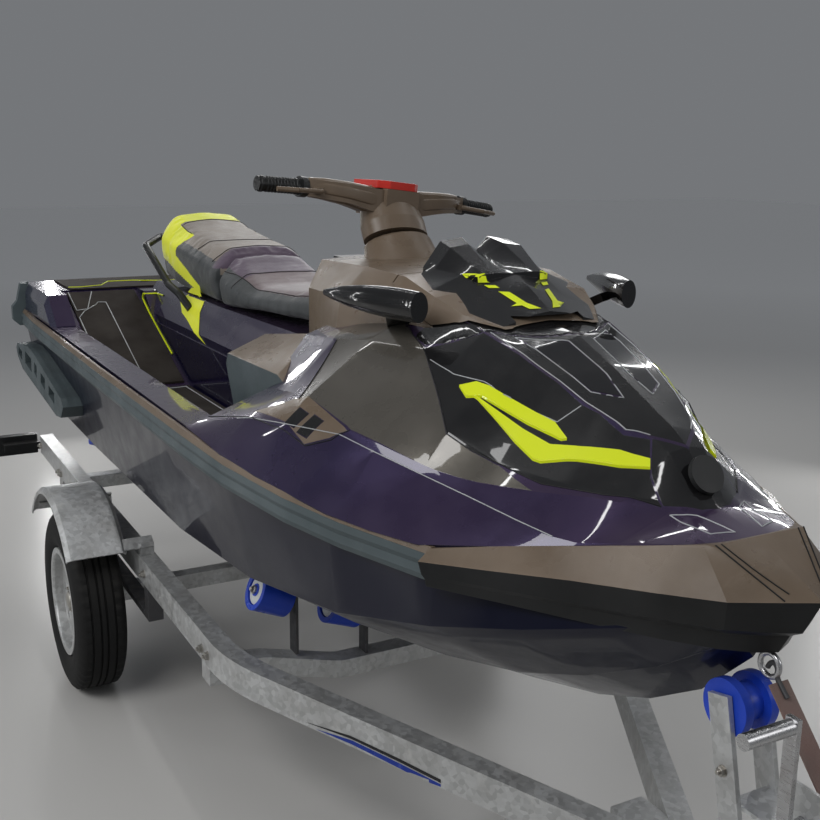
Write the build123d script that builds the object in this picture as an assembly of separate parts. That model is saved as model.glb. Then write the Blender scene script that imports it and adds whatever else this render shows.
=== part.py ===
from build123d import *
import math
import os

# Personal watercraft parked on its galvanised road trailer.
# X runs from the stern to the bow, Y to port, Z up from the floor.
# Every X below is a station measured from the transom; the finished pieces are
# shifted so that the origin lies on the floor below the middle of the whole.

# Driving dimensions in millimetres
CRAFT_LENGTH = 3440.0
BEAM = 1255.0
JOINT_Z = 965.0
TYRE_RADIUS = 277.0
TYRE_WIDTH = 150.0
WHEEL_X = 1218.0
WHEEL_Y = 670.0
RAIL_TOP_Z = 484.0
REAR_X = -160.0
COUPLING_X = 4350.0
ORIGIN_X = (REAR_X + COUPLING_X) / 2

HALF_BEAM = BEAM / 2
SKIN = 14.0

# Steering, turned to port as it is parked
STEER_TILT = 30.0
STEER_PIVOT = (2005.0, 0.0, 1462.0)
STEER_PARKED = 12.5
NOZZLE_PARKED = -11.25
NOZZLE_X = 40.0
JET_Z = 640.0

# Jockey leg on the drawbar
JACK_X = 3900.0
JACK_Y = 92.0
JACK_PIVOT_Z = 445.0
JOCKEY_RADIUS = 95.0
JOCKEY_TRAIL = 38.0

# Hull sections. Columns: x, keel z, strake y z, chine y z, flat y z, joint y
HULL_ROWS = (
    (0, 480, 250, 578, 505, 672, 550, 690, 590),
    (1000, 480, 250, 578, 510, 675, 556, 693, 600),
    (1900, 480, 248, 580, 505, 682, 552, 702, 600),
    (2350, 484, 236, 590, 482, 700, 530, 726, 580),
    (2700, 520, 214, 632, 440, 742, 482, 772, 495),
    (2920, 584, 180, 684, 372, 790, 398, 815, 396),
    (3070, 646, 140, 736, 292, 828, 305, 850, 270),
    (3200, 726, 90, 800, 195, 868, 205, 885, 172),
    (3310, 836, 35, 880, 80, 905, 92, 915, 92),
)

# Fore deck sections. Columns: x, joint y, gunwale y z, crease y z, panel foot y z,
# fairing foot y z, hood edge y z, centre z
FORE_ROWS = (
    (2150, 595, 603, 1034, 565, 1046, 400, 1105, 305, 1225, 200, 1262, 1268),
    (2350, 580, 592, 1018, 520, 1092, 430, 1138, 325, 1248, 195, 1300, 1306),
    (2480, 555, 565, 1004, 492, 1104, 452, 1148, 300, 1262, 185, 1318, 1326),
    (2620, 520, 528, 988, 436, 1108, 425, 1120, 247, 1260, 163, 1318, 1326),
    (2700, 495, 503, 977, 400, 1088, 392, 1100, 266, 1210, 155, 1302, 1310),
    (2800, 455, 463, 970, 353, 1064, 344, 1076, 295, 1137, 141, 1272, 1300),
    (2900, 412, 418, 968, 314, 1045, 292, 1065, 245, 1096, 124, 1236, 1260),
    (3000, 320, 325, 982, 277, 1026, 232, 1068, 196, 1084, 100, 1194, 1214),
    (3080, 262, 262, 999, 252, 1014, 172, 1072, 150, 1080, 50, 1165, 1178),
    (3120, 230, 234, 1008, 230, 1012, 140, 1070, 120, 1079, 40, 1145, 1152),
    (3175, 190, 192, 1019, 186, 1022, 75, 1062, 60, 1072, 30, 1085, 1090),
    (3205, 168, 170, 1026, 164, 1029, 60, 1056, 40, 1060, 20, 1063, 1064),
    (3300, 100, 100, 1042, 96, 1043, 70, 1043, 50, 1044, 30, 1044, 1044),
)

# Console and storage cover sections. Columns: x, foot y z, side y z, shoulder y z, centre z
CONSOLE_ROWS = (
    (1846, 140, 1150, 150, 1270, 120, 1352, 1362),
    (1960, 215, 1160, 215, 1310, 178, 1380, 1390),
    (2250, 280, 1200, 262, 1325, 195, 1390, 1396),
    (2430, 252, 1230, 236, 1325, 190, 1385, 1398),
    (2560, 222, 1255, 212, 1302, 190, 1356, 1380),
    (2630, 186, 1275, 176, 1308, 166, 1328, 1348),
    (2712, 128, 1290, 126, 1303, 112, 1307, 1308),
)

# Seam where the storage cover begins, seen from the side. Columns: x, z
COVER_SEAM = ((2400, 1500), (2400, 1369), (2646, 1272), (2646, 1200))
COVER_GAP = 5.0

# Black cowl on the storage cover. Columns: x, foot y z, edge y z, centre z
COWL_ROWS = (
    (2425, 150, 1388, 128, 1412, 1416),
    (2520, 186, 1362, 84, 1402, 1408),
    (2620, 162, 1331, 98, 1348, 1376),
    (2700, 118, 1309, 40, 1330, 1335),
)

# Wind deflector standing on the cowl. Columns: x, valley z, inner peak y z, outer peak y z, foot y z
VISOR_ROWS = (
    (2401, 1430, 33, 1464, 89, 1456, 132, 1400),
    (2450, 1426, 46, 1452, 92, 1446, 130, 1400),
    (2560, 1398, 50, 1400, 72, 1398, 90, 1392),
)

# Seat sections. Columns: x, foot y z, side y z, top y z, centre z
FRONT_SEAT_ROWS = (
    (1112, 168, 1158, 186, 1250, 120, 1326, 1338),
    (1200, 178, 1160, 188, 1230, 122, 1282, 1290),
    (1340, 168, 1165, 172, 1206, 120, 1232, 1236),
    (1560, 140, 1172, 140, 1215, 96, 1244, 1248),
    (1800, 104, 1185, 104, 1240, 72, 1272, 1276),
)
REAR_SEAT_ROWS = (
    (352, 120, 1200, 138, 1330, 96, 1388, 1396),
    (470, 165, 1180, 182, 1330, 120, 1404, 1414),
    (640, 180, 1165, 190, 1310, 122, 1368, 1374),
    (880, 178, 1158, 188, 1290, 120, 1338, 1342),
    (1098, 166, 1158, 184, 1262, 118, 1322, 1332),
)

# Bow bumper: plan outlines of its edges from the top down, and the heights of each
# outline's rear and front end. Columns: x, y
BUMPER_EDGES = {
    "upper": (((2925, 404), (3014, 315), (3108, 245), (3206, 172), (3285, 108), (3302, 98), (3300, 0)),
              (966, 1046)),
    "crease": (((2930, 430), (3040, 350), (3150, 265), (3270, 187), (3360, 122), (3408, 48), (3438, 0)),
               (948, 981)),
    "step": (((2938, 427), (3046, 343), (3158, 254), (3262, 172), (3340, 104), (3382, 44), (3405, 0)),
             (926, 917)),
    "lip": (((2944, 424), (3048, 336), (3158, 244), (3256, 160), (3326, 92), (3362, 40), (3381, 0)),
            (920, 903)),
    "foot": (((2946, 422), (3048, 332), (3156, 240), (3250, 156), (3314, 86), (3346, 38), (3361, 0)),
             (906, 866)),
}

# Rubber side strip. Columns: x, outer y, centre z
STRIP_ROWS = (
    (6, 612, 998), (300, 624, 998), (1300, 627, 998), (2175, 622, 998),
    (2375, 600, 983), (2585, 548, 962), (2735, 495, 949), (2925, 412, 937),
)
STRIP_HEIGHT = 62.0
STRIP_DEPTH = 20.0
TRIM_HEIGHT = 12.0

# Corner guard at each end of the transom, seen from behind. Columns: y, z
CORNER_GUARD = ((584, 966), (622, 966), (645, 988), (645, 1040), (626, 1062), (610, 1129), (584, 1129))


def half_face(x, points):
    """A face across the craft at one station, from its half outline mirrored in Y."""
    port = [(y, z) for y, z in points]
    starboard = [(-y, z) for y, z in reversed(points) if y > 0]
    outline = Polyline(*port, *starboard, close=True)
    return Plane.YZ.offset(x) * make_face(outline)


def loft_rows(rows, to_points, ruled=True):
    """A body lofted through the stations of a table."""
    return loft([half_face(row[0], to_points(row)) for row in rows], ruled=ruled)


def box(x, y, z):
    """A block between pairs of limits on each axis."""
    size = [high - low for low, high in (x, y, z)]
    middle = [(high + low) / 2 for low, high in (x, y, z)]
    return Pos(*middle) * Box(*size)


def largest(shape):
    """The main solid of a cut piece, without stray slivers."""
    return max(shape.solids(), key=lambda solid: solid.volume)


def both_sides(shape):
    """The shape and its mirror image to starboard."""
    return [shape, mirror(shape, about=Plane.XZ)]


def rod(start, end, radius):
    """A round bar between two points."""
    axis = Vector(*end) - Vector(*start)
    return Plane(origin=start, z_dir=axis) * extrude(Circle(radius), axis.length)


def bar(start, end, width, height, up=(0, 0, 1)):
    """A rectangular bar between two points, its height along up."""
    axis = Vector(*end) - Vector(*start)
    side = Vector(*up).cross(axis)
    frame = Plane(origin=start, x_dir=side, z_dir=axis)
    return frame * extrude(Rectangle(width, height), axis.length)


def plan_prism(points, low, high):
    """An upright prism over a plan outline."""
    return Pos(0, 0, low) * extrude(make_face(Polyline(*points, close=True)), high - low)


def side_prism(points, low, high):
    """A prism across the craft over an outline seen from the side (x, z)."""
    face = Plane.XZ * make_face(Polyline(*points, close=True))
    return Pos(0, high, 0) * extrude(face, high - low)


def hull_points(row):
    x, keel, strake_y, strake_z, chine_y, chine_z, flat_y, flat_z, joint_y = row
    return [(0, keel), (strake_y, strake_z - 6), (strake_y + 18, strake_z - 6), (chine_y, chine_z),
            (flat_y, flat_z), (joint_y, JOINT_Z), (0, JOINT_Z)]


def fore_points(row):
    (x, joint, gun_y, gun_z, band_y, band_z, foot_y, foot_z,
     shoulder_y, shoulder_z, edge_y, edge_z, centre) = row
    return [(0, JOINT_Z), (joint, JOINT_Z), (gun_y, gun_z), (band_y, band_z), (foot_y, foot_z),
            (shoulder_y, shoulder_z), (edge_y, edge_z), (0, centre)]


def core_points(row):
    """The fore deck sections set in by the thickness of the panels."""
    outer = fore_points(row)
    inner = [outer[0], (outer[1][0] - SKIN, JOINT_Z)]
    inner += [(y - SKIN, z - SKIN) for y, z in outer[2:7]]
    return inner + [(0, outer[7][1] - SKIN)]


def console_points(row):
    x, foot_y, foot_z, side_y, side_z, top_y, top_z, centre = row
    return [(0, foot_z), (foot_y, foot_z), (side_y, side_z), (top_y, top_z), (0, centre)]


# Heights between which the skin pieces are cut out, and the rise of the trims on them
SKIN_LOW = 1040.0
SKIN_HIGH = 1500.0
TRIM_RISE = 5.0
RECESS_DEPTH = 4.0

# Accessory anchor sockets in the stern deck
ANCHOR_X = 190.0
ANCHOR_Y = 160.0
DECK_TOP_Z = 1130.0
ANCHOR_FLOOR_Z = 1100.0
ANCHOR_RADIUS = 16.0

# Boarding ladder hinge on the transom
LADDER_X = -20.0
LADDER_Z = 900.0
LADDER_HEIGHT = 140.0

# Jet drive, at the stern on the centre line
PUMP_RADIUS = 104.0
PUMP_BORE = 80.0
TUNNEL_HALF = 150.0


def make_hull():
    hull = loft_rows(HULL_ROWS, hull_points)
    hull -= box((1090, 1910), (-205, 205), (578, JOINT_Z + 1))
    hull -= box((318, 2132), (223, 532), (856, JOINT_Z + 1))
    hull -= box((318, 2132), (-532, -223), (856, JOINT_Z + 1))
    tunnel = box((-1, 380), (-TUNNEL_HALF, TUNNEL_HALF), (400, JET_Z))
    tunnel += Pos(-1, 0, JET_Z) * Rot(0, 90, 0) * extrude(Circle(TUNNEL_HALF), 381)
    hull -= tunnel
    duct = side_prism(((379, 400), (379, 720), (470, 700), (860, 470), (860, 400)), -100, 100)
    hull -= duct
    hull -= box((-1, 92), (-165, 165), (540, 810))
    return hull


def make_engine():
    block = box((1150, 1850), (-185, 185), (590, 800))
    head = side_prism(((1180, 800), (1800, 800), (1740, 940), (1230, 940)), -110, 150)
    return block + head


def make_nose_disc():
    """Plain round boss on the nose where a badge would sit."""
    return Pos(3166, 0, 1112) * Rot(0, 58, 0) * extrude(Circle(34), 10)


def make_envelope():
    return loft_rows(FORE_ROWS, fore_points)


# Plan outlines of the skin pieces on the port side. Columns: x, y
FAIRING_PLAN = (
    (2614, 246), (2697, 158), (2840, 135), (2965, 112), (3047, 83), (3082, 52), (3122, 82), (3162, 88),
    (3086, 154), (2991, 215), (2903, 244), (2847, 276), (2800, 297), (2784, 292), (2729, 275), (2650, 254),
)
HOOD_SIDE = ((2790, 0), (2760, 70), (2702, 148), (2840, 129), (2964, 106), (3045, 77), (3078, 46), (3116, 0))
NOSE_SIDE = ((3124, 0), (3084, 49), (3122, 79), (3162, 84), (3200, 32), (3206, 0))
PANEL_PLAN = (
    (2446, 447), (2367, 325), (2250, 300), (2426, 215), (2553, 238), (2611, 244), (2648, 256), (2727, 277),
    (2798, 299), (2847, 278), (2903, 248), (2992, 236), (2940, 267), (2870, 308), (2826, 331), (2757, 363),
    (2632, 419),
)
VENT_PLAN = ((2324, 505), (2415, 449), (2630, 424), (2604, 450), (2555, 484))
VENT_SLOTS = ((2473, 494, 2483, 462), (2518, 486, 2530, 450))
LIME_UPPER = ((2747, 242), (2771, 218), (2943, 156), (2978, 154), (2970, 161), (2803, 225), (2776, 244))
LIME_LOWER = (
    (2747, 242), (2790, 234), (2959, 177), (3002, 148), (3060, 99), (3112, 65), (3137, 56), (3076, 111),
    (3014, 157), (2963, 199), (2948, 206),
)
WINDOW_PLAN = ((2740, 112), (2806, 30), (2920, 24), (2984, 34), (2947, 81))


def mirrored_plan(side):
    """A plan outline that starts and ends on the centre line, closed by its mirror image."""
    return side + tuple((x, -y) for x, y in reversed(side[1:-1]))


def make_skin_pieces(envelope, core):
    """Side panels, fairings, hood and vents, cut out of one skin where the real panels meet."""
    skin = envelope - core
    pieces = {}
    for name, plan in (("side_vents", VENT_PLAN), ("fairings", FAIRING_PLAN), ("side_panels", PANEL_PLAN)):
        piece = skin & plan_prism(plan, SKIN_LOW, SKIN_HIGH)
        for other in pieces.values():
            piece -= other
        pieces[name] = largest(piece)
    nose = skin & plan_prism(mirrored_plan(NOSE_SIDE), SKIN_LOW, SKIN_HIGH)
    hood = skin & plan_prism(mirrored_plan(HOOD_SIDE), SKIN_LOW, SKIN_HIGH)
    raised = Pos(0, 0, TRIM_RISE) * pieces["fairings"]
    lime = plan_prism(LIME_UPPER, SKIN_LOW, SKIN_HIGH) + plan_prism(LIME_LOWER, SKIN_LOW, SKIN_HIGH)
    trim = largest((raised + pieces["fairings"]) & lime)
    pieces["fairings"] = largest(pieces["fairings"] - trim)
    pieces["lime_trims"] = trim
    pieces["side_vents"] = largest(pieces["side_vents"] - vent_slots())
    pieces = {name: both_sides(piece) for name, piece in pieces.items()}
    pieces["hood"] = [largest(hood - window_recess())]
    pieces["nose_cap"] = [largest(nose)]
    return pieces


def vent_slots():
    """The two dark slots of a side vent, with the bar left standing between them."""
    cuts = []
    for rear_x, rear_y, front_x, front_y in VENT_SLOTS:
        outline = ((rear_x, rear_y), (front_x, front_y), (front_x + 34, front_y - 6), (rear_x + 34, rear_y - 8))
        cuts.append(plan_prism(outline, SKIN_LOW, SKIN_HIGH))
    return cuts[0] + cuts[1]


def window_recess():
    """Shallow angular recess on each side of the hood's ridge."""
    floor = Pos(0, 0, -RECESS_DEPTH) * make_envelope()
    cut = plan_prism(WINDOW_PLAN, SKIN_LOW, SKIN_HIGH) - floor
    return cut + mirror(cut, about=Plane.XZ)


def make_deck(envelope, core, pieces):
    deck = envelope
    for group in pieces.values():
        for piece in group:
            deck -= piece
    return deck


# Gunwale and stern deck sections. Columns: x, half width, top z
STERN_ROWS = ((0, 585, 1130), (60, 598, 1130), (455, 600, 1130), (590, 600, 1036))
GUNWALE_Z = 1034.0

# Footwell: floor height, inner and outer wall, and its outline seen from the side
FLOOR_Z = 870.0
WELL_Y = (237.0, 518.0)
RAMP = ((340.0, 1126.0), (990.0, FLOOR_Z))
WELL_SIDE = ((340, 1400), *RAMP, (2119, FLOOR_Z), (2119, 1400))
WELL_SHELL = 12.0

# Seat pedestal sections. Columns: x, foot y, top y, top z
PEDESTAL_ROWS = ((400, 236, 170, 1160), (1100, 236, 165, 1150), (1850, 236, 130, 1146), (2150, 236, 150, 1146))


def stern_points(half, top):
    return [(0, JOINT_Z), (half, JOINT_Z), (half, top - 34), (half - 16, top), (0, top)]


def make_rear_deck():
    deck = box((0, 2150), (-600, 600), (JOINT_Z, GUNWALE_Z))
    deck += loft([half_face(x, stern_points(half, top)) for x, half, top in STERN_ROWS], ruled=True)
    inner_y, outer_y = WELL_Y
    voids = []
    for sign in (1, -1):
        limits = sorted((sign * (inner_y - WELL_SHELL), sign * (outer_y + WELL_SHELL)))
        deck += box((319, 2131), limits, (FLOOR_Z - WELL_SHELL, JOINT_Z))
        voids.append(side_prism(WELL_SIDE, *sorted((sign * inner_y, sign * outer_y))))
    for void in voids:
        deck -= void
    deck += loft([half_face(x, [(0, JOINT_Z), (foot, JOINT_Z), (foot - 6, 1060), (top_y, top), (0, top)])
                  for x, foot, top_y, top in PEDESTAL_ROWS], ruled=True)
    for y in (-ANCHOR_Y, ANCHOR_Y):
        deck -= rod((ANCHOR_X, y, ANCHOR_FLOOR_Z), (ANCHOR_X, y, 1160), ANCHOR_RADIUS)
    return deck


def make_strips():
    """Side strips with a trim along their top, and the corner guards behind them."""
    strip_faces, trim_faces = [], []
    for x, outer, z in STRIP_ROWS:
        low, high = z - STRIP_HEIGHT / 2, z + STRIP_HEIGHT / 2
        seam = high - TRIM_HEIGHT
        strip = ((outer - STRIP_DEPTH, low), (outer - 5, low), (outer, low + 12), (outer - 4, z - 4),
                 (outer, z + 6), (outer - 3, seam), (outer - STRIP_DEPTH, seam))
        trim = ((outer - STRIP_DEPTH, seam + 0.3), (outer - 4, seam + 0.3), (outer - 12, high),
                (outer - STRIP_DEPTH, high))
        strip_faces.append(Plane.YZ.offset(x) * make_face(Polyline(*strip, close=True)))
        trim_faces.append(Plane.YZ.offset(x) * make_face(Polyline(*trim, close=True)))
    return both_sides(loft(strip_faces, ruled=True)), both_sides(loft(trim_faces, ruled=True))


def make_corner_guards():
    """A moulded guard wrapped round each corner of the transom."""
    outline = make_face(Polyline(*CORNER_GUARD, close=True))
    rear = Plane.YZ.offset(-24) * (Pos(-14, 0) * outline)
    front = Plane.YZ.offset(5.7) * outline
    guard = loft([rear, front], ruled=True)
    wrap = Plane.YZ.offset(5.7) * extrude(make_face(Polyline(*CORNER_GUARD, close=True)), 34)
    return both_sides(guard + wrap)


def tilt_face(points, ends, rear_x):
    """A plan outline laid on a plane that falls from its rear height to its front height."""
    high, low = ends
    slope = (low - high) / (points[-1][0] - points[0][0])
    angle = math.degrees(math.atan(-slope))
    stretch = 1 / math.cos(math.radians(angle))
    outline = [((x - rear_x) * stretch, y) for x, y in points]
    outline += [(x, -y) for x, y in reversed(outline[:-1])]
    return Pos(rear_x, 0, high) * Rot(0, angle, 0) * make_face(Polyline(*outline, close=True))


def make_bumper():
    """Bow bumper: a sloping top above the crease and a stepped base below it."""
    edge = {name: tilt_face(plan, heights, plan[0][0]) for name, (plan, heights) in BUMPER_EDGES.items()}
    top = loft([edge["crease"], edge["upper"]], ruled=True)
    base = loft([edge["step"], edge["crease"]], ruled=True) + loft([edge["lip"], edge["step"]], ruled=True)
    return top, base + loft([edge["foot"], edge["lip"]], ruled=True)


def cover_space(shift):
    """The space ahead of the cover's seam, moved along X."""
    ahead = ((2646, 1200), (2800, 1200), (2800, 1500))
    return Pos(shift, 0, 0) * side_prism(COVER_SEAM + ahead[1:], -350, 350)


def make_console(envelope, rear_deck):
    body = loft_rows(CONSOLE_ROWS, console_points) - cover_space(-COVER_GAP)
    body -= box((1852, 1954), (-104, 104), (1300, 1420))
    body -= envelope
    body -= rear_deck
    stem = Plane(origin=STEER_PIVOT, z_dir=STEER_AXIS) * Pos(0, 0, -90) * extrude(Circle(18), 86)
    return largest(body) + stem


def make_glove_lid():
    return box((1857, 1949), (-99, 99), (1366, 1378))


def make_cover(envelope):
    """Front storage cover, hinged at its front edge."""
    band = loft_rows(CONSOLE_ROWS, console_points) & cover_space(0)
    return largest(band - envelope - Pos(0, 0, COVER_GAP) * envelope)


def cowl_points(row):
    x, foot_y, foot_z, edge_y, edge_z, centre = row
    return [(0, foot_z - 30), (foot_y, foot_z - 30), (foot_y, foot_z), (edge_y, edge_z), (0, centre)]


def visor_points(row):
    x, valley, inner_y, inner_z, outer_y, outer_z, foot_y, foot_z = row
    return [(0, foot_z - 30), (foot_y, foot_z - 30), (foot_y, foot_z), (outer_y, outer_z),
            (inner_y, inner_z), (0, valley)]


def make_visor(cover):
    """Black cowl on the cover, with its front mouth and the wind deflector."""
    shape = loft_rows(COWL_ROWS, cowl_points) + loft_rows(VISOR_ROWS, visor_points)
    mouth = plan_prism(((2640, -84), (2760, -84), (2760, 84), (2640, 84)), 1311, 1327)
    return largest(shape - cover - mouth)


# Mirror pod sections, from the blunt front end to the outer tip. Columns: x, y, z, half width, half height
MIRROR_ROWS = (
    (2625, 264, 1347, 20, 31), (2540, 294, 1350, 24, 32), (2440, 330, 1352, 16, 22), (2362, 352, 1352, 3, 6),
)
MIRROR_ARM = ((2468, 225, 1290), (2540, 268, 1332))


def make_mirrors(console, envelope):
    pod = loft([Plane.YZ.offset(x) * Pos(y, z) * Ellipse(half_w, half_h)
                for x, y, z, half_w, half_h in MIRROR_ROWS])
    arm = bar(*MIRROR_ARM, 50, 20, up=(0, 0, 1))
    return both_sides(largest((pod + arm) - console - envelope))


STEER_AXIS = (-math.sin(math.radians(STEER_TILT)), 0.0, math.cos(math.radians(STEER_TILT)))


def turn_steering(shape):
    """Turn a piece about the steering axis to where it is parked."""
    return shape.rotate(Axis(STEER_PIVOT, STEER_AXIS), STEER_PARKED)


# Handlebar arm sections on one side. Columns: y, x, z, width, height
ARM_ROWS = ((50, 1976, 1518, 96, 62), (150, 1984, 1530, 66, 46), (250, 1962, 1534, 44, 40))
GRIP_END = (1950.0, 378.0, 1530.0)
LEVER_ROWS = ((2004, 226, 1528), (2012, 300, 1524), (2000, 352, 1522))


def make_steering():
    base = Plane(origin=STEER_PIVOT, z_dir=STEER_AXIS)
    column = base * loft([Ellipse(66, 92), Pos(0, 0, 96) * Ellipse(46, 74)])
    column = base * Pos(0, 0, -36) * extrude(Ellipse(66, 92), 36.2) + column
    column -= base * Pos(0, 0, -37) * extrude(Circle(18.6), 60)
    arm = loft([Plane(origin=(x, y, z), x_dir=(1, 0, 0), z_dir=(0, 1, 0)) * Rectangle(wide, high)
                for y, x, z, wide, high in ARM_ROWS], ruled=True)
    middle = box((1912, 2036), (-52, 52), (1486, 1552))
    lever = rod(LEVER_ROWS[0], LEVER_ROWS[1], 6) + rod(LEVER_ROWS[1], LEVER_ROWS[2], 6)
    lever += bar((1972, 232, 1530), (2006, 232, 1528), 22, 14)
    bars = middle + arm + lever
    bars += mirror(arm + lever, about=Plane.XZ)
    last_y, last_x, last_z = ARM_ROWS[-1][:3]
    inner_end = (last_x, last_y + 0.5, last_z)
    grip = rod(inner_end, GRIP_END, 18) + rod(inner_end, (last_x, 268, last_z), 25)
    pad = plan_prism(((1880, -44), (2010, -66), (2030, -40), (2030, 40), (2010, 66), (1880, 44)), 1552.5, 1572)
    return {"steering_column": [column - bars - pad], "handlebar": [bars], "red_pad": [pad],
            "grips": both_sides(grip - bars)}


def make_seats():
    front = loft_rows(FRONT_SEAT_ROWS, console_points)
    rear = loft_rows(REAR_SEAT_ROWS, console_points)
    return front, rear


# Grab loop behind the rear seat, from its port foot in the pedestal to the middle. Columns: x, y, z
HANDLE_ROWS = ((880, 190, 1112), (810, 208, 1160), (700, 212, 1180), (420, 212, 1294), (322, 130, 1318))
HANDLE_RADIUS = 13.0


def make_grab_handle(rear_deck):
    """A bent tube out of the pedestal beside the seat, up and round behind its back."""
    starboard = [(x, -y, z) for x, y, z in reversed(HANDLE_ROWS)]
    path = FilletPolyline(*HANDLE_ROWS, *starboard, radius=32)
    start = Plane(origin=HANDLE_ROWS[0], z_dir=Vector(*HANDLE_ROWS[1]) - Vector(*HANDLE_ROWS[0]))
    return [largest(sweep(start * Circle(HANDLE_RADIUS), path=path) - rear_deck)]


# Knee pad outlines seen from the side, at its outer and inner face. Columns: x, z
KNEE_OUTER = ((1905, 992), (1846, 1110), (1862, 1140), (2200, 1146), (2262, 1128), (2277, 1104))
KNEE_INNER = ((1800, 985), (1742, 1125), (1775, 1168), (2130, 1222), (2215, 1190), (2240, 1100))
KNEE_Y = (262.0, 400.0)


def make_knee_pads(envelope, rear_deck, console):
    inner, outer = [Plane.XZ.offset(-y) * make_face(Polyline(*points, close=True))
                    for y, points in zip(KNEE_Y, (KNEE_INNER, KNEE_OUTER))]
    pad = loft([inner, outer], ruled=True) - envelope - rear_deck - console
    return both_sides(largest(pad))


def make_mats():
    """Soft mats on the footwell floors, on the ramps behind them and on the stern deck."""
    rise = 8.0
    floor = plan_prism(((1010, 245), (1740, 245), (1740, 505), (1010, 505)), FLOOR_Z + 0.3, FLOOR_Z + rise)
    (rear_x, rear_z), (front_x, front_z) = RAMP
    slope = (front_z - rear_z) / (front_x - rear_x)
    ends = [(x, rear_z + slope * (x - rear_x) + 0.4) for x in (rear_x + 20, front_x - 20)]
    ramp = side_prism(ends + [(x, z + rise) for x, z in reversed(ends)], 250, 500)
    stern = box((20, 340), (-480, 480), (DECK_TOP_Z + 0.3, DECK_TOP_Z + 6))
    for y in (-ANCHOR_Y, ANCHOR_Y):
        stern -= rod((ANCHOR_X, y, 1130), (ANCHOR_X, y, 1150), ANCHOR_RADIUS + 6)
    return both_sides(floor) + both_sides(ramp) + [stern]


# Sponson outline seen from the side, and its openings. Columns: x, z
SPONSON_SIDE = (
    (27, 878), (60, 902), (300, 924), (430, 914), (880, 842), (905, 818), (862, 774), (780, 763),
    (150, 812), (48, 848),
)
SPONSON_Y = (566.0, 640.0)
# Openings. Columns: rear x, front x, low z, high z
SPONSON_OPENINGS = ((70, 150, 850, 892), (215, 345, 838, 896), (400, 450, 834, 886), (520, 600, 818, 868),
                    (660, 760, 802, 848))


def make_sponsons(hull):
    """Side floats with see-through openings in their outer plate."""
    body = side_prism(SPONSON_SIDE, *SPONSON_Y) - hull
    for rear, front, low, high in SPONSON_OPENINGS:
        outline = ((rear, low + 10), (front, low - 4), (front + 8, high - 10), (rear + 14, high))
        body -= side_prism(outline, 604, 660)
    return both_sides(largest(body))


def make_jet():
    def tube(x0, x1, outer, inner):
        ring = Circle(outer) - Circle(inner)
        return Pos(x0, 0, JET_Z) * Rot(0, 90, 0) * extrude(ring, x1 - x0)
    pump = tube(92.3, 378, PUMP_RADIUS, PUMP_BORE)
    for sign in (1, -1):
        pump += box((-6, 100), sorted((sign * 88, sign * 96)), (618, 662))
        pump += box((24, 100), (-14, 14), sorted((JET_Z + sign * 63, JET_Z + sign * 72)))
        pump += box((92.3, 110), sorted((sign * 80, sign * 100)), (618, 662))
    plate = box((-20, 376), (-140, 140), (492, 506))
    impeller = Pos(150, 0, JET_Z) * Rot(0, 90, 0) * extrude(Circle(28), 150)
    for turn in (0, 90, 180, 270):
        blade = Plane(origin=(225, 0, 0), z_dir=(0, 0, 1)) * Rot(0, 0, 30) * extrude(Rectangle(90, 6), 74)
        impeller += Pos(0, 0, JET_Z) * (Rot(turn, 0, 0) * blade)
    nozzle = tube(-80, 60, 60, 48)
    pins = [rod((NOZZLE_X, 0, JET_Z + sign * 52), (NOZZLE_X, 0, JET_Z + sign * 62.7), 7) for sign in (1, -1)]
    nozzle = (nozzle + pins[0] + pins[1]).rotate(Axis((NOZZLE_X, 0, JET_Z), (0, 0, 1)), NOZZLE_PARKED)
    bucket = make_bucket()
    return {"jet_pump": [pump], "ride_plate": [plate], "impeller": [impeller], "nozzle": [nozzle],
            "reverse_bucket": [bucket]}


BUCKET_PIVOT = (10.0, 0.0, JET_Z)
BUCKET_RADIUS = 126.0
BUCKET_SPAN = (35.0, 110.0)


def make_bucket():
    """Reverse bucket: a curved shell held by two arms, stowed above the nozzle."""
    def sector(radius, inner=0.0):
        low, high = BUCKET_SPAN
        arc = [(-radius * math.cos(math.radians(low + (high - low) * i / 8)),
                radius * math.sin(math.radians(low + (high - low) * i / 8))) for i in range(9)]
        back = [(x * inner / radius, z * inner / radius) for x, z in reversed(arc)] if inner else [(0, 0)]
        return make_face(Polyline(*arc, *back, close=True))
    at_pivot = Plane(origin=(BUCKET_PIVOT[0], 112, BUCKET_PIVOT[2]), x_dir=(1, 0, 0), z_dir=(0, -1, 0))
    shell = at_pivot * extrude(sector(BUCKET_RADIUS, BUCKET_RADIUS - 8), 224)
    arm = at_pivot * extrude(sector(BUCKET_RADIUS) + Circle(18), 8)
    pin = rod((BUCKET_PIVOT[0], 104, JET_Z), (BUCKET_PIVOT[0], 96.3, JET_Z), 8)
    side = arm + pin
    return shell + side + mirror(side, about=Plane.XZ)


def make_ladder():
    top = LADDER_Z + LADDER_HEIGHT
    ladder = rod((LADDER_X, -155, LADDER_Z), (LADDER_X, 155, LADDER_Z), 10)
    for y in (-130, 130):
        ladder += rod((LADDER_X, y, LADDER_Z), (LADDER_X, y, top), 9)
    return [ladder + box((LADDER_X - 14, LADDER_X + 12), (-139, 139), (top - 12, top + 12))]


BOW_EYE_X = 3346.0
BOW_EYE_Z = 838.0


def make_fittings():
    """The bow eye and the two lugs that carry the boarding ladder."""
    ring = Pos(BOW_EYE_X, 0, BOW_EYE_Z) * Rot(90, 0, 0) * Torus(20, 5)
    lug = box((LADDER_X - 14, -0.3), (144, 156), (LADDER_Z - 16, LADDER_Z + 16))
    lug -= rod((LADDER_X, 140, LADDER_Z), (LADDER_X, 160, LADDER_Z), 10.5)
    return [ring] + both_sides(lug)


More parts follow.
